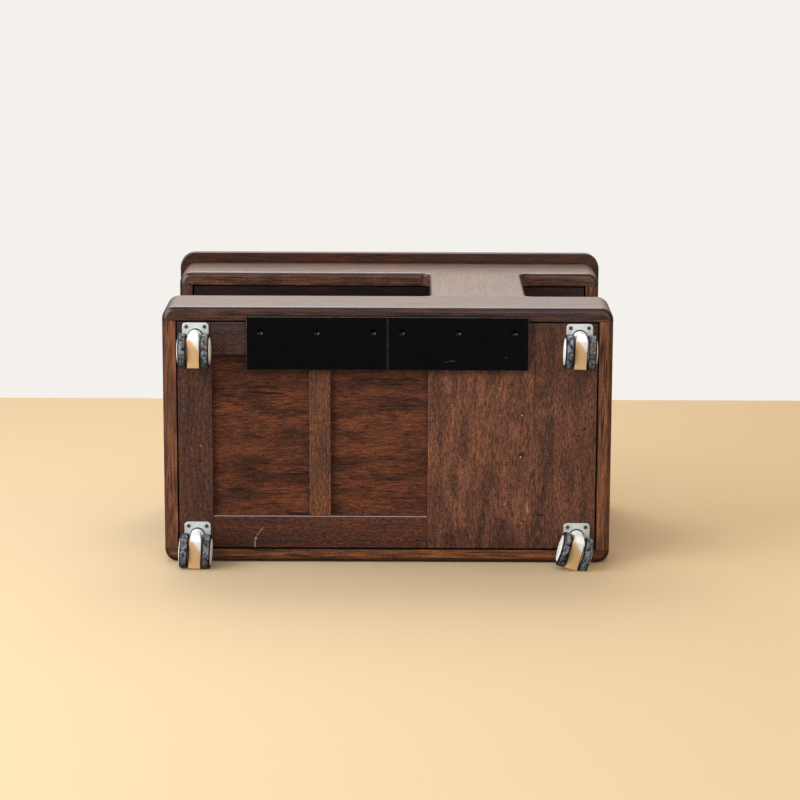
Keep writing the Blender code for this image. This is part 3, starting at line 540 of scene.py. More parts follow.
# %% Marks and shared settings
SCRATCH = "#C0B2A2"
SCRATCHES = (
    (191.7, -159.7, 0.9, 6, SCRATCH, 0.4), (190.3, -152.2, 1.0, 2.2, SCRATCH, 0.6),
    (188.1, -146.3, 0.9, 1.0, SCRATCH, 0.5), (185.2, -142.6, 1.0, 1.0, SCRATCH, 0.4),
    (182.7, -139.7, 1.2, 0.9, SCRATCH, 0.4), (180.5, -137.1, 0.9, 1.0, SCRATCH, 0.5),
)
STILE_MARKS = ((268.5, -14.5, 1.0, 1.0, "#C0B0A0", 0.6), (275, -36.7, 7, 2.5, PIT, 0.4))
WIDE_MARKS = (
    (-221.5, -115.8, 4.5, 1.1, PIT, 0.9), (-283.8, 11.9, 1.6, 2.0, PIT, 0.95), (-194, -27.5, 6, 3.5, "#2E140E", 0.6),
    (-202.6, -106.9, 1.2, 7, DUST_AND_GLINT_GREY, 0.4), (-169.2, -99.6, 1.0, 1.2, "#C08A60", 0.6),
    (-211.5, 45, 1.6, 50, PIT, 0.4),
)
RAIL = dict(grit_mm=(30, 1.8), grit=0.75, edge=("#1C0F0A", 0.5))
LONG_RAIL, END_RAIL = dict(RAIL, streaks=0.7), dict(RAIL, streaks=0.9, gloss=0.4, satin=0.3)
# Painted shade: the front rail's rounded edges are darkened strongly, for the floor it lies against.
FRONT_RAIL = dict(RAIL, streaks=0.8, gloss=0.35, edge=("#120804", 0.8))
THIN = dict(gloss=0.3, satin=0.35)
# rim paints the underside lighter in the middle and darker towards its rim, as painted light and shade.
LATTICE = dict(THIN, dust=0.25, rim=1.0, streaks=0.3)
# The pale edge tint of the wide board, on one side only, is a painted highlight.
WIDE = dict(
    THIN, ring_mm=14.0, hills=12.0, hill_mm=(110, 34), rings=0.17, streaks=0.25, dust=0.12, rim=1.0,
    edge=("#A09CA4", 0.1), staves=((-128, 71, 0.0), (-210, 53, -0.12), (-240, 37, 0.14)), marks=WIDE_MARKS,
)
PANEL = dict(
    THIN, grit_mm=(14, 2.0), grit=0.7, ring_mm=6.0, hills=9.0, hill_mm=(80, 26), rings=0.24, streaks=1.0, sway_mm=5.0,
    calm=0.25, rim=0.4,
)
# Painted shade: the box panel's colours are dark as shade; its stave step makes it lighter where x is below -200 mm, as
# painted light.
BOX_PANEL = dict(RAIL, **THIN, staves=((-200, 40, 2.2),))

# %% Woods of the table
WOODS = {
    "box_rail_back box_rail_front box_cleat_back box_cleat_front":
        ("rail, satin lacquer, grain along X", "X", "#4C3126 #623C28 #180C07", LONG_RAIL),
    "base_rail_back":
        ("back rail, satin lacquer", "X", "#3C261E #4E2E1E #180C07", LONG_RAIL),
    "base_rail_front":
        ("front rail, satin lacquer", "X", "#603B24 #7C4824 #221107", FRONT_RAIL),
    "base_rail_right":
        ("right end rail, satin lacquer", "Y", "#633D2B #834F30 #2C160B", END_RAIL),
    "base_rail_left box_rail_left":
        ("left end rail, satin lacquer", "Y", "#6E442D #925834 #2C160B", END_RAIL),
    # Painted shade: the end rail of the box is coloured darker than the other end rails.
    "box_rail_right":
        ("box end rail, satin lacquer", "Y", "#402B23 #553828 #22110A", dict(END_RAIL, streaks=0.7)),
    "tabletop":
        ("tabletop, satin lacquer", "X", "#381D12 #45200D #140804", dict(RAIL, gloss=0.5)),
    "pedestal_board_front pedestal_board_back pedestal_wall_right pedestal_wall_left":
        ("pedestal, satin lacquer", "Z", "#4A2E22 #64402A #1C0E08", dict(RAIL, rings=0.08, grit=0.2)),
    "base_stile_right":
        ("stile, thin satin lacquer", "Y", "#5A3A2F #6E432E #2A160E", dict(LATTICE, marks=STILE_MARKS)),
    # The pale edge tint of the middle stile, on one side only, is a painted highlight.
    "base_stile_middle":
        ("middle stile, thin satin lacquer", "Y", "#5E3B29 #764628 #2A160E", dict(LATTICE, edge=("#A09CA4", 0.2))),
    "base_batten_back":
        ("back batten, thin satin lacquer", "X", "#5E423A #6C4838 #28140C", LATTICE),
    # The bluish edge tint of the front batten, on one side only, is a painted highlight.
    "base_batten_front":
        ("front batten, thin satin lacquer", "X", "#593427 #6A3822 #28140C",
         dict(LATTICE, marks=SCRATCHES, edge=("#AEB4C4", 0.6))),
    "base_wide_board":
        ("glued board, thin satin lacquer", "Y", "#5C3928 #7E4E36 #2E1A12", WIDE),
    "base_floor":
        ("panel, thin satin lacquer", "X", "#462514 #6C3920 #150905", PANEL),
    "box_panel":
        ("box panel, shaded", "X", "#120806 #24120D #080403", BOX_PANEL),
}
wood = {}
for boards, (name, along, colours, rest) in WOODS.items():
    wood.update(dict.fromkeys(boards.split(), stained_wood(name, along, *colours.split(), **rest)))
print("wood finishes:", len(WOODS), "for", len(wood), "boards")

# %% [markdown]
# ### Steel, zinc, plastic and rubber
# The counterweights are painted flat black. The caster plates are zinc plated, pale with a faint yellow and blue
# cast from the passivation. The caster bodies and hubs are moulded nylon, white, and the fin gets a painted tan shade
# where it faces the floor. The tyres are dark grey rubber, grey with dust in patches. Most are a mix of two colours by
# noise at a real size in millimetres, with the same noise in the bump.

# %% Two-tone finishes
def two_tone(name, first, second, size_mm, low, high, bump_mm=0.0, **constants):
    """A finish that changes between two colours with noise of one size; the noise also raises the surface."""
    finish, shader, place = new_finish(name, **constants)
    tree = finish.node_tree
    noise = node(tree, "TexNoise", {"Vector": place, "Scale": 1 / (size_mm * MM), "Detail": 5.0}, "Fac")
    share = node(tree, "MapRange", {0: noise, 1: low, 2: high})
    wire(shader, Base_Color=node(tree, "Mix", {0: share, 6: first, 7: second}, **COLOUR_MIX))
    if bump_mm:
        wire(shader, Normal=node(tree, "Bump", {"Height": noise, "Distance": bump_mm * MM, "Strength": 0.6}))
    return finish


zinc = two_tone(
    "zinc plated steel, passivated", "#D6E4E6", "#E6E8DC", 7.0, 0.35, 0.65, 0.02, Metallic=0.45, Roughness=0.4
)
dark_screw = two_tone("blackened screw steel", "#141312", "#4A4744", 1.2, 0.45, 0.7, Metallic=1.0, Roughness=0.2)
brass_screw = two_tone("yellow zinc screw steel", "#564A36", "#A08C66", 1.5, 0.4, 0.7, Metallic=1.0, Roughness=0.35)
white_nylon = two_tone("moulded nylon, white", "#F6F3EE", "#EEE8DC", 6.0, 0.3, 0.8, 0.01, Roughness=0.34)
hub_nylon = two_tone("moulded nylon hub, ivory", "#FCF8F0", "#F4EAD6", 6.0, 0.3, 0.8, 0.01, Roughness=0.36)
# Painted shade: the raceway ring is coloured dark for the shade between the plate and the neck.
raceway_shade_steel = two_tone("raceway steel, dark as painted shade", "#2E3234", "#5A6062", 3.0, 0.4, 0.7, Metallic=0.8, Roughness=0.4)
raw_wood = two_tone("bare wood plug", "#D08C5C", "#8C5234", 1.5, 0.4, 0.6, 0.1, Roughness=0.7)

# %% [markdown]
# Three finishes need a little more. The black paint is rubbed grey along its edges and has a few fine scratches. The
# fin is white nylon with a painted tan shade on the face that runs close to the floor; the share of tan is a value on
# the mesh. The tyres are dark rubber with pale dust, in smears a few millimetres long with fine grains in them, so two
# sizes of noise are multiplied. Their shoulders are left dark as painted shade. Some of the dust is warm and some of it
# bluish.

# %% Worn paint, aged nylon and dusty rubber
BARE_GREY = "#6C6A6E"
PAINT_SCRATCHES = (
    (-92, 113, 5, 0.6, BARE_GREY, 0.35), (-84, 111.5, 3, 0.5, BARE_GREY, 0.3), (-170, 118, 2, 0.6, BARE_GREY, 0.25)
)


def worn_paint(name, marks):
    """Flat black with faint mottling, grey on its worn edges, and scratched."""
    finish, shader, place = new_finish(name, Roughness=0.45, Specular_IOR_Level=0.08)
    tree = finish.node_tree
    black = node(tree, "Mix", {0: mottle(place, (9, 9), 5.0, 0.35, 0.7), 6: "#050404", 7: "#0B0907"}, **COLOUR_MIX)
    worn = mottle(place, (6, 6), 3.0, 0.3, 0.7, 0.1, 0.7)
    chips = node(tree, "Math", {0: node(tree, "Attribute", **WEAR_AND_PAINTED_LIGHT), 1: worn}, operation="MULTIPLY")
    colour = node(tree, "Mix", {0: chips, 6: black, 7: BARE_GREY}, **COLOUR_MIX)
    wire(shader, Base_Color=marked(place, colour, 2.0, marks))
    return finish


def tan_shaded_nylon(name):
    """White to a painted tan shade by the mesh's own value, with a little noise in the border."""
    finish, shader, place = new_finish(name, Roughness=0.36)
    tree = finish.node_tree
    value = node(tree, "Math", {0: node(tree, "Attribute", **WEAR_AND_PAINTED_LIGHT), 1: 0.15}, operation="SUBTRACT")
    border = node(tree, "Math", {0: mottle(place, (6, 6), 3.0), 1: 0.3, 2: value}, operation="MULTIPLY_ADD")
    share = node(tree, "MapRange", {0: border, 1: 0.0, 2: 1.0})
    wire(shader, Base_Color=node(tree, "Mix", {0: share, 6: "#F8F5EE", 7: "#DDB077"}, **COLOUR_MIX))
    return finish


def dusty_rubber(name):
    """Dark rubber, pale dust of smears times grains; shoulders, where the value is 1, stay dark as painted shade."""
    finish, shader, place = new_finish(name, Roughness=0.85, Specular_IOR_Level=0.25)
    tree = finish.node_tree
    smears, grains = mottle(place, (5.0, 5.0), 3.0, 0.34, 0.62), mottle(place, (1.0, 1.0), 2.0, 0.34, 0.66)
    dust = node(tree, "MapRange", {0: node(tree, "Attribute", **WEAR_AND_PAINTED_LIGHT), 1: 0.0, 2: 1.0, 3: 1.0, 4: 0.0})
    for level in (smears, grains):
        dust = node(tree, "Math", {0: dust, 1: level}, operation="MULTIPLY")
    tint = node(tree, "Mix", {0: mottle(place, (11, 11), 2.0, 0.42, 0.6), 6: "#B4BEC8", 7: "#A49684"}, **COLOUR_MIX)
    colour = node(tree, "Mix", {0: dust, 6: "#0C0D0F", 7: tint}, **COLOUR_MIX)
    bump = node(tree, "Bump", {"Height": grains, "Distance": 0.2 * MM, "Strength": 0.6})
    wire(shader, Base_Color=colour, Normal=bump)
    return finish


black_paint = worn_paint("black baked paint on steel", PAINT_SCRATCHES)
fin_nylon_shaded = tan_shaded_nylon("moulded nylon, painted tan shade below")
rubber = dusty_rubber("dusty grey rubber")
print("finishes in all:", len(bpy.data.materials))

# %% [markdown]
# ## The two rail boxes
# The base and the box under the top are frames of four rails. The long rails run the full length and have round
# corners in plan. The end rails stand between them, and a hairline shows at each joint. Outside, the lower edge has
# an 8 mm rounding that runs on round the corners. A foot of the pedestal is let into each long rail, so its upper
# edge, or the lower one on the box, has a shallow notch.

# %% Rail shapes
CORNER_RADIUS = 18 * MM
RAIL_EASE = 8 * MM
TRAY_EASE = 5 * MM
INNER_EASE = 0.8 * MM
HAIRLINE = 0.3 * MM
base_low, base_high = span("base_rail_back")
half_length, half_depth, inner_depth = base_high[0], base_high[1], base_low[1]
inner_length = span("base_rail_right")[0][0]
frame_outline = round_rectangle((-half_length, -half_depth), (half_length, half_depth), CORNER_RADIUS)
(_, _, right_arc, left_arc), (_, _, right_turn, left_turn) = (part.reshape(4, -1, 2) for part in frame_outline)


def rail_board(points, normals, outside, low, high, ease_high, notch=None):
    """An eased board, well rounded along the outer part of its outline and nearly sharp along the inner part."""
    return eased_board(
        points, normals, low, high, np.where(outside, RAIL_EASE, INNER_EASE),
        np.where(outside, ease_high, INNER_EASE), notch=notch,
    )


def long_rail(low, high, ease_high, notch):
    """A back rail with a notch. Its outline runs along the inner side and then round both outer corners."""
    from_x, to_x, _ = notch
    inner = [(x, inner_depth) for x in (-inner_length, from_x, to_x, inner_length)]
    right_end, left_end = [(half_length, inner_depth)], [(-half_length, inner_depth)]
    seat = [(to_x, half_depth), (from_x, half_depth)]
    points = np.concatenate([inner, right_end, right_arc, seat, left_arc, left_end])
    normals = np.concatenate([[(0, -1)] * 4, [(1, 0)], right_turn, [(0, 1)] * 2, left_turn, [(-1, 0)]])
    return rail_board(points, normals, np.arange(len(points)) >= len(inner), low, high, ease_high, notch)


def end_rail(low, high, ease_high):
    """A right-hand end rail: straight, rounded only on its outer side, with square ends at the joints."""
    reach = inner_depth - HAIRLINE
    points = np.array(rectangle((inner_length, -reach), (half_length, reach)))
    normals = np.array([(-1, 0), (1, 0), (1, 0), (-1, 0)])
    return rail_board(points, normals, normals[:, 0] > 0, low, high, ease_high)


# %% [markdown]
# The front and left rails are the back and right ones after half a turn, and the long rails of the box are made
# upside down, because there the notch is below.

# %% Rails
HALF_TURN = np.diag([-1.0, -1.0, 1.0])
UPSIDE_DOWN = np.diag([1.0, 1.0, -1.0])


def lacquered(name, surface):
    """Dress one board in its wood. It stands for the CAD node of the same name."""
    dress(name + ".lacquered", surface, wood[name], [name])


box_low, box_high = span("box_rail_back")
foot_low, foot_high = span("pedestal_board_back")
from_x, to_x = foot_low[0] - HAIRLINE, foot_high[0] + HAIRLINE
for part, low, high in (("base", base_low[2], base_high[2]), ("box", box_low[2], box_high[2])):
    rails = {}
    for side, ends in (("back", (from_x, to_x)), ("front", (-to_x, -from_x))):
        if part == "base":
            rails[side] = long_rail(low, high, TRAY_EASE, (*ends, foot_low[2] - HAIRLINE))
        else:
            flipped = long_rail(-high, -low, RAIL_EASE, (*ends, -foot_high[2] - HAIRLINE))
            rails[side] = placed(flipped, UPSIDE_DOWN)
    rails["right"] = rails["left"] = end_rail(low, high, TRAY_EASE if part == "base" else INNER_EASE)
    for side, rail in rails.items():
        name = f"{part}_rail_{side}"
        turn = HALF_TURN if side in ("front", "left") else np.eye(3)
        lacquered(name, placed(rail, turn))
    print(part, "rails:", len(rails), "with", len(rails["back"].points), "points in a long one")

# %% [markdown]
# ## Tabletop, panels and the boards under the base
# The tabletop is one slab with round corners and both edges eased. The floor of the base and the panel that closes
# the box are plain boards with a shadow gap round them. Under the floor lies a lattice: two stiles, two battens and
# one wide board, which show two windows with the floor panel behind. Each is an eased rectangle from its CAD box.

# %% Flat boards
LATTICE_EASE = 1.0 * MM
LIT_SIDE_FACING = 0.3


def board_shape(low, high, corner=1.4 * MM, ease=0.8 * MM, holes=(), worn=None):
    """An eased board from two box corners; edge tint all round, or only on the named side as a painted highlight."""
    surface = eased_board(*round_rectangle(low, high, corner), low[2], high[2], ease, ease, holes=holes)
    if worn:
        surface = surface._replace(rubbed=surface.rubbed * (surface.normals[:, :2] @ np.array(worn) > LIT_SIDE_FACING))
    return surface


# worn=(1, 0) and worn=(0, 1) put the edge tint on one side only, where it is a painted highlight.
for name, slot, shape in (
    ("tabletop", "stained_wood", dict(corner=24 * MM, ease=2.5 * MM)),
    ("base_floor", "panel_wood", {}),
    ("base_stile_right", "stained_wood", dict(ease=LATTICE_EASE)),
    ("base_stile_middle", "stained_wood", dict(ease=LATTICE_EASE, worn=(1, 0))),
    ("base_batten_back", "stained_wood", dict(ease=LATTICE_EASE)),
    ("base_batten_front", "stained_wood", dict(ease=1.2 * MM, worn=(0, 1))),
):
    lacquered(name, board_shape(*span(name), **shape))

SHADOW_GAP = 2 * MM
panel_low, panel_high = span("box_panel")
reach = np.array([inner_length - SHADOW_GAP, inner_depth - SHADOW_GAP])
box_panel = board_shape(np.array([*-reach, panel_low[2]]), np.array([*reach, panel_high[2]]))
lacquered("box_panel", box_panel)
print("box panel in mm:", np.round(2 * reach / MM, 1).tolist())

# %% [markdown]
# Plugs, screws and wheels are turned: a profile of (radius, height) points goes round an axis in equal steps. Where
# a profile starts and ends on the axis, all its points meet in one, the pole, and a fan of triangles closes it.
# A profile that never touches the axis is a loop, and gives a ring such as a tyre.

# %% Turned surface
def turned(profile, steps):
    """Surface of revolution about +Z: x = r cos a, y = r sin a, z = h, with two poles or as a closed ring."""
    profile = np.asarray(profile, float)
    on_axis = profile[0, 0] == 0
    body = profile[1:-1] if on_axis else profile
    rings = lifted(body[:, None, :1] * unit_circle(steps), body[:, 1:])
    numbers = np.arange(len(body) * steps).reshape(-1, steps)
    points, faces = rings.reshape(-1, 3), ring_quads(numbers).tolist()
    if on_axis:
        points = np.concatenate([points, [(0, 0, profile[0, 1]), (0, 0, profile[-1, 1])]])
        for pole, ring in ((numbers.size, numbers[0, ::-1]), (numbers.size + 1, numbers[-1])):
            faces += np.stack([np.full(steps, pole), ring, np.roll(ring, -1)], axis=1).tolist()
    else:
        faces += ring_quads(numbers[[-1, 0]]).tolist()
    return Surface(points, faces, None, np.zeros(len(points)))


# %% [markdown]
# The wide board carries a row of plugged screw holes along the wall of the pedestal above it. Each is a blind hole
# with a plug of bare wood sunk in it, a little off centre, so a dark rim shows beside an orange face.

# %% Wide board with plugged holes
PLUG_HOLES = [(-0.1944, 0.0322), (-0.1930, -0.0298), (-0.1956, -0.1278)]
PLUG_RADIUS, PLUG_DEPTH = 2.9 * MM, 4 * MM
PLUG_SHIFT = (0.7 * MM, -0.4 * MM)
PLUG_STEPS = 16
plug_profile = np.array([(0, 0.7), (1.7, 0.8), (2.0, 1.1), (2.0, 3.9), (0, 3.9)]) * MM

wide_low, wide_high = span("base_wide_board")
plug_holes = [(x, y, PLUG_RADIUS, PLUG_DEPTH) for x, y in PLUG_HOLES]
# worn=(1, 0): the edge tint on one side only, a painted highlight.
wide_board = board_shape(wide_low, wide_high, ease=LATTICE_EASE, holes=plug_holes, worn=(1, 0))
lacquered("base_wide_board", wide_board)
for number, (x, y) in enumerate(PLUG_HOLES, 1):
    plug = placed(turned(plug_profile, PLUG_STEPS), origin=(x + PLUG_SHIFT[0], y + PLUG_SHIFT[1], wide_low[2]))
    dress(f"base_wide_board.plug_{number}", plug, raw_wood, body="table")
print("plugs:", len(PLUG_HOLES))

# %% [markdown]
# ## The pedestal
# A hollow column joins the base and the box. Its front and back boards flow into the rails through 12 mm hollow
# curves, and their feet are let into the rails, flush with the outside. The outline lies in the X-Z plane, and the
# board's thickness runs along Y. Its left side mirrors the right one. Two plain side boards close the column.

# %% Pedestal
FOOT_CURVE = 12 * MM
PEDESTAL_EASE = 5 * MM
SHARP = 0.25 * MM
BEND = np.linspace(1.5, 1.0, CORNER_STEPS + 1) * math.pi
X_Z_DEPTH = np.array([[1.0, 0, 0], [0, 0, 1.0], [0, -1.0, 0]])
MIRROR = np.array([-1.0, 1.0])
bends = ((base_high[2] + FOOT_CURVE, BEND), (box_low[2] - FOOT_CURVE, BEND - math.pi / 2))
curve_points = np.concatenate([arc((foot_high[0], z), FOOT_CURVE, angles) for z, angles in bends])
curve_normals = np.concatenate([-arc((0, 0), 1, angles) for _, angles in bends])
side_points = np.concatenate([[(foot_high[0], foot_low[2])], curve_points, [(foot_high[0], foot_high[2])]])
side_normals = np.concatenate([[(1, 0)], curve_normals, [(1, 0)]])
board_points = np.concatenate([side_points, (side_points * MIRROR + (foot_low[0] + foot_high[0], 0))[::-1]])
board_normals = np.concatenate([side_normals, (side_normals * MIRROR)[::-1]])
at_foot = np.isin(board_points[:, 1], (foot_low[2], foot_high[2]))
face_ease = np.where(at_foot, SHARP, PEDESTAL_EASE)
for side, eases in (("front", (SHARP, face_ease)), ("back", (face_ease, SHARP))):
    name = "pedestal_board_" + side
    low, high = span(name)
    board = eased_board(board_points, board_normals, -high[1], -low[1], *eases)
    lacquered(name, placed(board, X_Z_DEPTH))
for name in ("pedestal_wall_right", "pedestal_wall_left"):
    lacquered(name, board_shape(*span(name), corner=2 * SHARP, ease=SHARP))
print("pedestal outline points:", len(board_points))

# %% [markdown]
# ## Counterweights
# Two flat steel bars hang under the back edge and keep the table from tipping. Each is screwed on through three
# counterbored holes. The screws have a dished head with a cross recess: the head is a turned shape whose face is
# pressed in along two crossing bars. The dish turns one side of each head to the light, which gives a glint.

# %% Counterweights and their screws
SCREW_STEPS = 32
FADE_LENGTH, FADE_WIDTH = 0.3, 1.6
BAR_CORNER, BAR_EASE = 1.0 * MM, 0.8 * MM
BORE_RADIUS, BORE_DEPTH = 4.9 * MM, 4.5 * MM
HEAD_FACE, DISH = 4.2, 2.0


def cross_screw(profile, face_limit, bar_half, bar_reach, depth):
    """A turned screw with a cross recess: points below the limit and within either bar are pushed up by the depth.

    The push fades out towards the ends and the sides of the bars."""
    screw = turned(profile, SCREW_STEPS)
    x, y, z = screw.points.T
    along, across = np.maximum(np.abs(x), np.abs(y)), np.minimum(np.abs(x), np.abs(y))
    lengthways = np.clip((bar_reach - along) / (FADE_LENGTH * bar_reach), 0, 1)
    sideways = np.clip((bar_half * FADE_WIDTH - across) / bar_half, 0, 1)
    pressed = z + np.where(z < face_limit, depth * lengthways * sideways, 0)
    return screw._replace(points=np.stack([x, y, pressed], axis=1))


weight_profile = np.concatenate([
    np.linspace((0, DISH), (HEAD_FACE, 0), 15),
    [(4.6, 0.4), (4.6, 2.9), (2.2, 3.0), (2.2, 12), (0, 13)],
]) * MM
weight_screw = cross_screw(
    weight_profile, face_limit=(DISH + 0.1) * MM, bar_half=0.5 * MM, bar_reach=2.2 * MM, depth=0.7 * MM
)
for side in ("right", "left"):
    bar, holes = "counterweight_" + side, []
    for number in (1, 2, 3):
        name = f"counterweight_screw_{side}_{number}"
        low, high = span(name)
        x, y = (low[:2] + high[:2]) / 2
        holes.append((x, y, BORE_RADIUS, BORE_DEPTH))
        dress(name + ".steel", placed(weight_screw, origin=(x, y, low[2])), dark_screw, [name])
    bar_shape = board_shape(*span(bar), corner=BAR_CORNER, ease=BAR_EASE, holes=holes)
    dress(bar + ".painted", bar_shape, black_paint, [bar])
    print(bar, "has", len(holes), "screws")

# %% [markdown]
# ## Casters
# Each caster is a zinc plate with a pressed ring for the balls, four screws, a nylon body that swivels under it and
# two wheels on one axle. They are all made once, about the swivel axis, and then turned and moved to each corner.
# The ring, its pin and the screws are turned; the profiles are in millimetres above the floor.

# %% Caster plate, raceway and screws
TRAIL = 16 * MM
WHEEL_RADIUS = 25 * MM
PLATE_HALF, PLATE_CORNER = 19 * MM, 5.5 * MM
PLATE_FLOOR, PLATE_TOP = 57.7 * MM, 59.7 * MM
PLATE_EASES = (0.8 * MM, 0.25 * MM)
SCREW_FACE = 56.5
RING_STEPS, PIN_STEPS = 48, 24


def together(*surfaces):
    """Several turned surfaces as one, with the vertex numbers of each moved on past those before it."""
    starts = np.cumsum([0] + [len(s.points) for s in surfaces[:-1]]).tolist()
    faces = [[number + start for number in face] for s, start in zip(surfaces, starts) for face in s.faces]
    points, rubbed = (np.concatenate(parts) for parts in zip(*((s.points, s.rubbed) for s in surfaces)))
    return Surface(points, faces, None, rubbed)


plate_outline = round_rectangle((-PLATE_HALF, -PLATE_HALF), (PLATE_HALF, PLATE_HALF), PLATE_CORNER)
plate_shape = eased_board(*plate_outline, PLATE_FLOOR, PLATE_TOP, *PLATE_EASES)
raceway_profile = np.array([
    (0, 55.5), (9.7, 55.5), (9.9, 55.6), (10.1, 55.9), (10.4, 57.2), (10.6, 57.6), (10.9, 57.7), (10.9, 58.2),
    (0, 58.2),
]) * MM
pin_profile = np.array([(0, 43.5), (3, 43.5), (3, 56), (0, 56)]) * MM
raceway_shape = together(turned(raceway_profile, RING_STEPS), turned(pin_profile, PIN_STEPS))
screw_profile = np.concatenate([
    np.linspace((0, SCREW_FACE), (2.1, SCREW_FACE), 12),
    [(2.4, 56.7), (2.75, 57.2), (2.8, 57.8), (1.7, 57.9), (1.7, 64.8), (0, 66.4)],
]) * MM
screw_shape = cross_screw(
    screw_profile, face_limit=(SCREW_FACE + 0.1) * MM, bar_half=0.45 * MM, bar_reach=1.8 * MM, depth=0.9 * MM
)
print("plate, raceway and screw points:", [len(s.points) for s in (plate_shape, raceway_shape, screw_shape)])

# %% [markdown]
# The body is a fin between the wheels with a turned neck on it. Seen from the side, the fin is a large arc about the
# axle that ends in a small lip above a flat floor. It is an eased board on edge, narrowed towards its nose.
# Its two flat sides have many points close to one line, so each is a fan of triangles round the axle instead of
# one large face. The mesh's value is the share of painted tan shade, which grows towards one side and the trailing end.

# %% Caster fin and neck
FIN_RADIUS, FIN_LIP, FIN_FLOOR = 26 * MM, 1.2 * MM, 7 * MM
FIN_END, FIN_EASE, FIN_HALF = 38 * MM, 0.9 * MM, 8.5 * MM
FLAT_POINTS = 24
NARROWING = 0.6
SHADE_SLANT, SHADE_WIDTH, SHADE_START = 1.2, 8 * MM, 0.2
FIN_AXES = np.array([[0, -1.0, 0], [0, 0, 1.0], [-1.0, 0, 0]])

lip_height = FIN_FLOOR + FIN_LIP
lip_reach = math.sqrt((FIN_RADIUS - FIN_LIP) ** 2 - (WHEEL_RADIUS - lip_height) ** 2)
lip_angle = math.pi + math.atan2(WHEEL_RADIUS - lip_height, lip_reach)
fin_arcs = (
    ((TRAIL, WHEEL_RADIUS), FIN_RADIUS, np.linspace(math.acos((FIN_END - TRAIL) / FIN_RADIUS), lip_angle, 64)),
    ((TRAIL - lip_reach, lip_height), FIN_LIP, np.linspace(lip_angle, 1.5 * math.pi, 6)[1:]),
    ((FIN_END - FIN_LIP, lip_height), FIN_LIP, np.linspace(1.5 * math.pi, 2 * math.pi, 8)),
)
arc_points, arc_normals = [arc(*part) for part in fin_arcs], [arc((0, 0), 1, angles) for _, _, angles in fin_arcs]
flat = np.linspace(arc_points[1][-1], arc_points[2][0], FLAT_POINTS + 2)[1:-1]
fin_points = np.concatenate([*arc_points[:2], flat, arc_points[2]])
fin_normals = np.concatenate([*arc_normals[:2], [(0, -1)] * FLAT_POINTS, arc_normals[2]])
board = eased_board(fin_points, fin_normals, -FIN_HALF, FIN_HALF, FIN_EASE, FIN_EASE)
middles = [(TRAIL, WHEEL_RADIUS, FIN_HALF), (TRAIL, WHEEL_RADIUS, -FIN_HALF)]
sides = np.array(board.faces[-2:])
hearts = np.broadcast_to(len(board.points) + np.arange(2)[:, None], sides.shape)
fans = np.stack([hearts, sides, np.roll(sides, -1, axis=1)], axis=-1).reshape(-1, 3).tolist()
x, y, z = (np.concatenate([board.points, middles]) @ FIN_AXES).T
nose = np.clip(y / (FIN_RADIUS - TRAIL), 0, 1)
x = x * np.sqrt(1 - NARROWING * nose ** 2)
# Painted shade: the share of tan grows towards one side and the trailing end.
painted_shade_share = (SHADE_SLANT * x - y) / SHADE_WIDTH + SHADE_START
fin_shape = Surface(np.stack([x, y, z], axis=1), board.faces[:-2] + fans, None, painted_shade_share)
neck_profile = np.array([
    (0, 35), (7.3, 35), (9.6, 45), (9.7, 46), (9.7, 54), (9.5, 54.8), (9.0, 55.2), (3.3, 55.2), (3.3, 43.2), (0, 43.2),
]) * MM
neck_shape = turned(neck_profile, RING_STEPS)
print("fin points:", len(fin_shape.points))

# %% [markdown]
# The tyre's profile is a loop. Its tread is crowned by a quarter of a millimetre, so that light fades across it, and
# its two shoulders are quarter circles. The hub is half an ellipse in section, with a blind bore for the axle behind.

# %% Wheel shapes
WHEEL_STEPS = 96
WHEEL_INNER, WHEEL_OUTER = 10 * MM, 22 * MM
HUB_RADIUS, HUB_DOME = 19.3 * MM, 2.4 * MM
TYRE_GAP, CROWN, SHOULDER = 0.3 * MM, 0.25 * MM, 2 * MM
AXLE_BORE, AXLE_BORE_END = 2.8 * MM, WHEEL_OUTER - 0.2 * MM
SHOULDER_SHADE_FROM, SHOULDER_SHADE_WIDTH = 0.6, 0.2

quarter, dome = np.linspace(0, math.pi / 2, 7), np.linspace(0, math.pi / 2, 13)
across = np.linspace(-1, 1, 9)[1:-1]
tread_middle, tread_half = (WHEEL_INNER + WHEEL_OUTER) / 2, (WHEEL_OUTER - WHEEL_INNER) / 2 - SHOULDER
shoulder_radius = WHEEL_RADIUS - CROWN - SHOULDER
tyre_profile = np.concatenate([
    [(HUB_RADIUS + TYRE_GAP, WHEEL_INNER)],
    arc((shoulder_radius, WHEEL_INNER + SHOULDER), SHOULDER, quarter - math.pi / 2),
    np.stack([WHEEL_RADIUS - CROWN * across ** 2, tread_middle + tread_half * across], axis=1),
    arc((shoulder_radius, WHEEL_OUTER - SHOULDER), SHOULDER, quarter),
    [(HUB_RADIUS + TYRE_GAP, WHEEL_OUTER)],
])
hub_profile = np.concatenate([
    [(0, AXLE_BORE_END), (AXLE_BORE, AXLE_BORE_END), (AXLE_BORE, WHEEL_INNER), (HUB_RADIUS, WHEEL_INNER)],
    arc((0, WHEEL_OUTER), (HUB_RADIUS, HUB_DOME), dome),
])
tyre_shape, hub_shape = turned(tyre_profile, WHEEL_STEPS), turned(hub_profile, WHEEL_STEPS)
# Painted shade: the shoulders get a value of 1, so the finish leaves them dark.
off_middle = np.abs(tyre_shape.points[:, 2] - tread_middle) / (tread_half + SHOULDER)
tyre_shape = tyre_shape._replace(rubbed=np.clip((off_middle - SHOULDER_SHADE_FROM) / SHOULDER_SHADE_WIDTH, 0, 1))
print("tyre and hub points:", len(tyre_shape.points), len(hub_shape.points))

# %% [markdown]
# Every caster stands at its own swivel angle. The plate, its ring and its screws belong to the table. The fin and the
# neck ride on the swivelling body, and a tyre and its hub on their wheel. The axles and two cleats inside the box
# show as they are in the CAD model, and only get a finish.

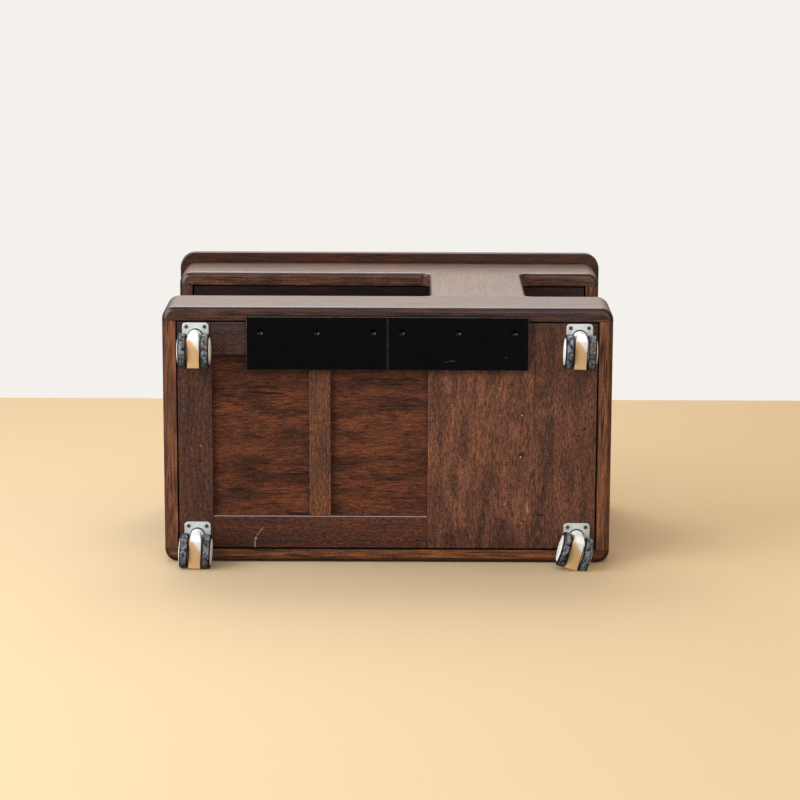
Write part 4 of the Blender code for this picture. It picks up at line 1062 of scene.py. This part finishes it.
# %% Four casters
SCREW_PITCH = (-13 * MM, 13 * MM)
WHEEL_AXES = {
    "right": np.array([[0, 1.0, 0], [0, 0, 1.0], [1.0, 0, 0]]),
    "left": np.array([[0, 1.0, 0], [0, 0, -1.0], [-1.0, 0, 0]]),
}
WHEEL_PARTS = (("tyre", tyre_shape, rubber, "tyre_rubber"), ("hub", hub_shape, hub_nylon, "hub_plastic"))
REST_SWIVEL = {"back_right": 0.0, "back_left": 2.5, "front_right": 3.0, "front_left": 15.3}


def recoat(name, finish):
    """Give a finish to a CAD node that shows as it is."""
    materials = frame["nodes"][name].data.materials
    materials.clear()
    materials.append(finish)


for corner, degrees in REST_SWIVEL.items():
    caster = "caster_" + corner
    low, high = span(caster + "_plate")
    centre = np.array([*(low[:2] + high[:2]) / 2, 0])
    turn = math.radians(degrees)
    swivel = np.array([[math.cos(turn), math.sin(turn), 0], [-math.sin(turn), math.cos(turn), 0], [0, 0, 1]])
    screws = [placed(screw_shape, origin=centre + (x, y, 0)) for x in SCREW_PITCH for y in SCREW_PITCH]
    dress(caster + "_plate.zinc", placed(plate_shape, origin=centre), zinc, [caster + "_plate"])
    dress(caster + "_raceway.steel", placed(raceway_shape, origin=centre), raceway_shade_steel, body="table")
    dress(caster + "_screws.steel", together(*screws), brass_screw, body="table")
    body = frame["nodes"][caster + "_body"]["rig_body"]
    dress(caster + "_fin.nylon", placed(fin_shape, swivel, centre), fin_nylon_shaded, [caster + "_body"])
    dress(caster + "_neck.nylon", placed(neck_shape, swivel, centre), white_nylon, body=body)
    axle_centre = centre + np.array([0, -TRAIL, WHEEL_RADIUS]) @ swivel
    for hand, axes in WHEEL_AXES.items():
        for part, shape, finish, slot in WHEEL_PARTS:
            name = f"{caster}_{part}_{hand}"
            dress(name + ".moulded", placed(shape, axes @ swivel, axle_centre), finish, [name])
    recoat(caster + "_axle", dark_screw)
for name in ("box_cleat_back", "box_cleat_front"):
    recoat(name, wood[name])
print("casters:", len(REST_SWIVEL))

# %% [markdown]
# ## Stage
# The table lies on a plain pale floor. In the table's own frame that floor is nearly the plane of its front side,
# tipped by two degrees because the wider top holds one end up. It has a straight far edge. A second floor lies
# under the wheels for views of the table standing. Each sheet shows only from its front, so neither hides the table.

# %% Floors
FLOOR_TIP = math.radians(2.014)
CONTACT = (0, -0.188, 0.066)
NEAR_EDGE, FAR_EDGE, FLOOR_HALF, STANDING_HALF = -2.0, 1.43, 3, 2


def one_sided(name, colour):
    """A matt sheet that shows from its front and is clear from behind."""
    finish, shader, _ = new_finish(name, Base_Color=linear(colour), Roughness=0.9, Specular_IOR_Level=0.1)
    tree = finish.node_tree
    behind, clear = node(tree, "NewGeometry", output="Backfacing"), node(tree, "BsdfTransparent")
    either = node(tree, "MixShader", {0: behind, 1: shader.outputs[0], 2: clear})
    wire(tree.nodes["Material Output"], Surface=either)
    return finish


def sheet(name, finish, origin, first, second, first_range, second_range):
    """A flat quad: origin + a first + b second over two ranges, facing first x second. The lamps ignore it."""
    spots = np.array(rectangle(*zip(first_range, second_range)), float)
    mesh = bpy.data.meshes.new(name)
    mesh.from_pydata((np.array(origin) + spots @ np.array([first, second])).tolist(), [], [(0, 1, 2, 3)])
    mesh.materials.append(finish)
    made = bpy.data.objects.new(name, mesh)
    scene.collection.objects.link(made)
    made.visible_diffuse = made.visible_glossy = made.visible_transmission = made.visible_shadow = False


away = (0, -math.sin(FLOOR_TIP), math.cos(FLOOR_TIP))
standing_range = (-STANDING_HALF, STANDING_HALF)
warm_floor, pale_floor = one_sided("pale warm floor paint", "#CCB38C"), one_sided("pale floor paint", "#E2DFDA")
sheet("lying_floor", warm_floor, CONTACT, away, (1, 0, 0), (NEAR_EDGE, FAR_EDGE), (-FLOOR_HALF, FLOOR_HALF))
sheet("standing_floor", pale_floor, (0, 0, 0), (1, 0, 0), (0, 1, 0), standing_range, standing_range)
print("the lying floor is tipped by", round(math.degrees(FLOOR_TIP), 2), "degrees")

# %% [markdown]
# ## Light
# The light is soft: daylight comes from high on one side, and pale light from behind the table. Large soft lamps
# stand for that. A level of 1 means that a surface which faces the lamp renders as its colour is written: a lamp of
# power P at distance d gives P / (pi d^2), and a matt surface sends back its colour times that over pi.
# Three of them are hidden from gloss, so that they leave no bright patch in the lacquer.

# %% Lamps
TARGET = (0, 0, 0.2)


def lamp(name, direction, level, size, distance=2.6, colour="#FFFFFF", glossy=True):
    """A square area lamp that looks at the table from a direction, unseen by the camera and perhaps by gloss."""
    data = bpy.data.lights.new(name, "AREA")
    data.size = size
    data.energy = level * math.pi ** 2 * distance ** 2
    data.color = linear(colour)[:3]
    made = bpy.data.objects.new(name, data)
    scene.collection.objects.link(made)
    direction = Vector(direction).normalized()
    aim = direction.to_track_quat("Z", "Y").to_matrix().to_4x4()
    made.matrix_world = Matrix.Translation(Vector(TARGET) + distance * direction) @ aim
    made.visible_camera = False
    made.visible_glossy = glossy


lamp("key", (0.72, 0.38, -0.58), 0.92, 2.0)
lamp("fill", (-0.4, 0.3, -0.87), 0.25, 2.0)
lamp("sky", (0.05, 0.95, -0.3), 0.25, 1.8, colour="#DFE9FF", glossy=False)
lamp("overhead", (0.15, 0.77, -0.62), 0.14, 2.0, colour="#D4E2FF")
lamp("top", (0.1, 0.75, 0.65), 0.6, 1.8)
lamp("front", (0.3, -0.5, 0.8), 0.85, 1.6, colour="#FFF6EC", glossy=False)
lamp("side", (-0.93, 0.2, 0.05), 0.45, 1.6, distance=3.4, colour="#FFE3BC", glossy=False)
lamp("daylight", (0.8, 0.58, 0.02), 0.45, 1.5, distance=3.0, colour="#CFE0FF")

# %% [markdown]
# The world is dim except for a broad bright patch behind the table, which the lacquer mirrors at flat angles.
# The camera itself sees an even pale backdrop instead.

# %% World
TOWARD_GLOW = (0, 0.64, 0.768)
GLOW_FROM, GLOW_FULL, DIM, BRIGHT = 0.7, 0.92, 0.15, 1.1
world = bpy.data.worlds.new("pale room")
world.use_nodes = True
scene.world = world
sky = world.node_tree
room = sky.nodes["Background"]
room.inputs["Color"].default_value = linear("#FFF0E4")
look = node(sky, "TexCoord", output="Generated")
facing = node(sky, "VectorMath", {0: look, 1: TOWARD_GLOW}, "Value", operation="DOT_PRODUCT")
edges = {1: GLOW_FROM, 2: GLOW_FULL, 3: DIM, 4: BRIGHT}
wire(room, Strength=node(sky, "MapRange", {0: facing, **edges}, interpolation_type="SMOOTHSTEP"))
seen = node(sky, "LightPath", output="Is Camera Ray")
backdrop = node(sky, "Background", {"Color": "#F4F1ED", "Strength": 1.0})
mix = node(sky, "MixShader", {0: seen, 1: room.outputs[0], 2: backdrop})
wire(sky.nodes["World Output"], Surface=mix)
print("world glow from", DIM, "to", BRIGHT)
